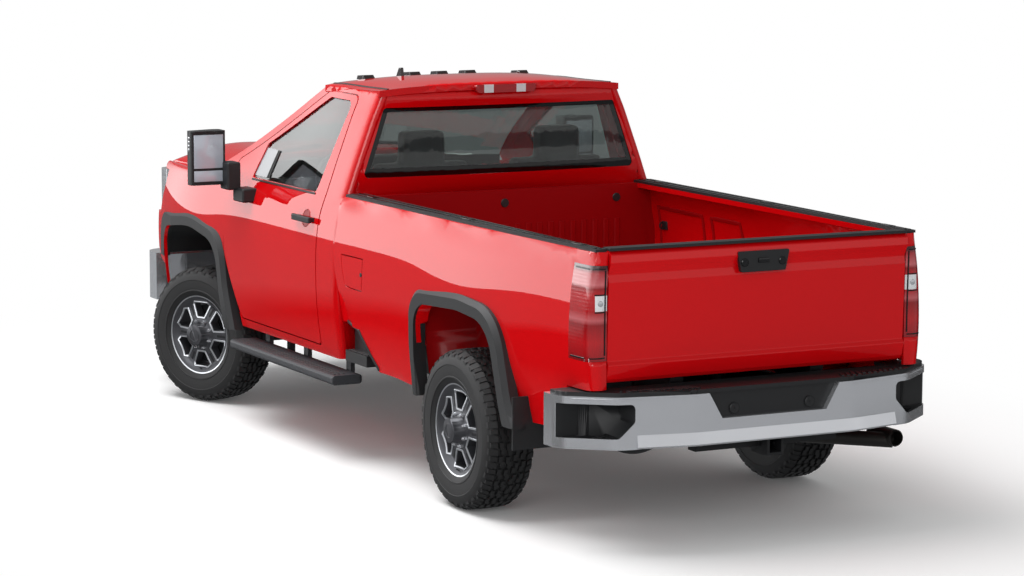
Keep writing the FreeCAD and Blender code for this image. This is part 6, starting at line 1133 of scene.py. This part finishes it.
# %% Mirrored walls
WALL_LEFT, WALL_BASE, WALL_REAR, AMBIENT = 3.0, 0.30, 0.45, 0.48
WHITE = (1, 1, 1, 1)
world = bpy.data.worlds.new("studio")
bpy.context.scene.world = world
world.use_nodes = True
tree = world.node_tree
tree.nodes.clear()
way = add_node(tree, "TexCoord").outputs["Generated"]
forward_way, left_way, up_way = add_node(tree, "SeparateXYZ", [way]).outputs
bands = add_node(tree, "ValToRGB", [up_way])
level_line, overhead = bands.color_ramp.elements
overhead.position = 0.9
level_line.color, overhead.color = WHITE, (0.5, 0.5, 0.51, 1)
for position, level in ((0.12, 1.0), (0.40, 0.55)):
    bands.color_ramp.elements.new(position).color = (level, level, level * 1.01, 1)
left_wall = add_node(tree, "MapRange", [left_way, 0.0, 0.3, 0.0, WALL_LEFT], interpolation_type="SMOOTHSTEP")
forward_share = add_node(tree, "MapRange", [forward_way, -0.4, 0.35, 0.12, 1.0])
rear_wall = add_node(tree, "MapRange", [forward_way, -0.3, -0.6, 0.0, WALL_REAR])
walls = add_node(tree, "Math", [left_wall, forward_share, WALL_BASE], operation="MULTIPLY_ADD")
walls = add_node(tree, "Math", [walls, rear_wall], operation="ADD")

# %% What each ray sees
rays = add_node(tree, "LightPath").outputs
ambient = add_node(tree, "Background", [WHITE, AMBIENT])
mirrored = add_node(tree, "Background", [bands, walls])
white = add_node(tree, "Background", [WHITE, 1.0])
lit = add_node(tree, "MixShader", [rays["Is Glossy Ray"], ambient, mirrored])
seen = add_node(tree, "Math", [rays["Is Camera Ray"], rays["Is Transmission Ray"]], operation="MAXIMUM")
add_node(tree, "OutputWorld", [add_node(tree, "MixShader", [seen, lit, white])])

# %% [markdown]
# ## Soft lights
# One wide box hangs over the left side and makes the soft shadow under the truck. A small one behind lifts
# the tailgate.


# %% Soft lights
def soft_light(name, place, target, size, power):
    """A soft box that faces a target."""
    light = bpy.data.lights.new(name, "AREA")
    light.shape = "RECTANGLE"
    light.size, light.size_y = size
    light.energy = power
    lamp = bpy.data.objects.new(name, light)
    lamp.matrix_world = facing(place, Vector(place) - Vector(target))
    bpy.context.scene.collection.objects.link(lamp)


soft_light("overhead_box", (1.2, 2.6, 7.0), (-0.3, 0, 0), (7.0, 4.0), 520.0)
soft_light("rear_fill", (-9.0, 5.0, 4.0), (-1.0, 0, 0.9), (4.0, 3.0), 150.0)
print("lights", len(bpy.data.lights))

# %% [markdown]
# ## The floor
# The cove's floor takes the shadow near the truck and fades to pure white away from it, by an oval distance
# from the truck's middle. Glossy rays meet a dim floor beside the truck, which keeps the lower doors deep
# red, and a brighter one ahead and behind.

# %% Floor
OVAL_SHARE = 0.62
floor_finish = bpy.data.materials.new("white_cove_floor")
floor_finish.use_nodes = True
tree = floor_finish.node_tree
tree.nodes.clear()
along, across, _ = resting_place(tree)
oval = add_node(tree, "Math", [along, OVAL_SHARE], operation="MULTIPLY")
flat = add_node(tree, "CombineXYZ", [oval, across])
reach = add_node(tree, "VectorMath", [flat], operation="LENGTH").outputs["Value"]
matte = add_node(tree, "BsdfDiffuse", [WHITE])
near = add_node(tree, "AddShader", [matte, add_node(tree, "Emission", [WHITE, 0.05])])
far = add_node(tree, "Emission", [WHITE, 1.0])
fade = add_node(tree, "MapRange", [reach, 2.0, 3.7], interpolation_type="SMOOTHSTEP")
shown = add_node(tree, "MixShader", [fade, near, far])
dim = add_node(tree, "MapRange", [reach, 1.5, 3.2, 0.22, 0.035])
from_middle = add_node(tree, "Math", [along], operation="ABSOLUTE")
beyond_ends = add_node(tree, "MapRange", [from_middle, 3.3, 5.0, 0.0, 0.27])
shine = add_node(tree, "Math", [dim, beyond_ends], operation="ADD")
mirrored = add_node(tree, "Emission", [(0.95, 0.97, 1.0, 1), shine])
rays = add_node(tree, "LightPath").outputs
mixed = add_node(tree, "MixShader", [rays["Is Glossy Ray"], matte, mirrored])
mixed = add_node(tree, "MixShader", [rays["Is Camera Ray"], mixed, shown])
add_node(tree, "OutputMaterial", [mixed])
floor_mesh = bpy.data.meshes.new("floor")
shape = bmesh.new()
bmesh.ops.create_grid(shape, x_segments=1, y_segments=1, size=150.0)
shape.to_mesh(floor_mesh)
shape.free()
floor = bpy.data.objects.new("floor", floor_mesh)
floor_mesh.materials.append(floor_finish)
bpy.context.scene.collection.objects.link(floor)
floor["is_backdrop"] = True

# %% [markdown]
# ## Hand over
# The view transform stays plain so that the reds come out as chosen. The two boxes, of the solids and of the
# dressed truck, are written down so that anyone can check that the dressing changed no size.

# %% Hand over
bpy.context.scene.view_settings.view_transform = "Standard"
low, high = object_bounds()
print("dressed", [round(v, 3) for v in (*low, *high)])
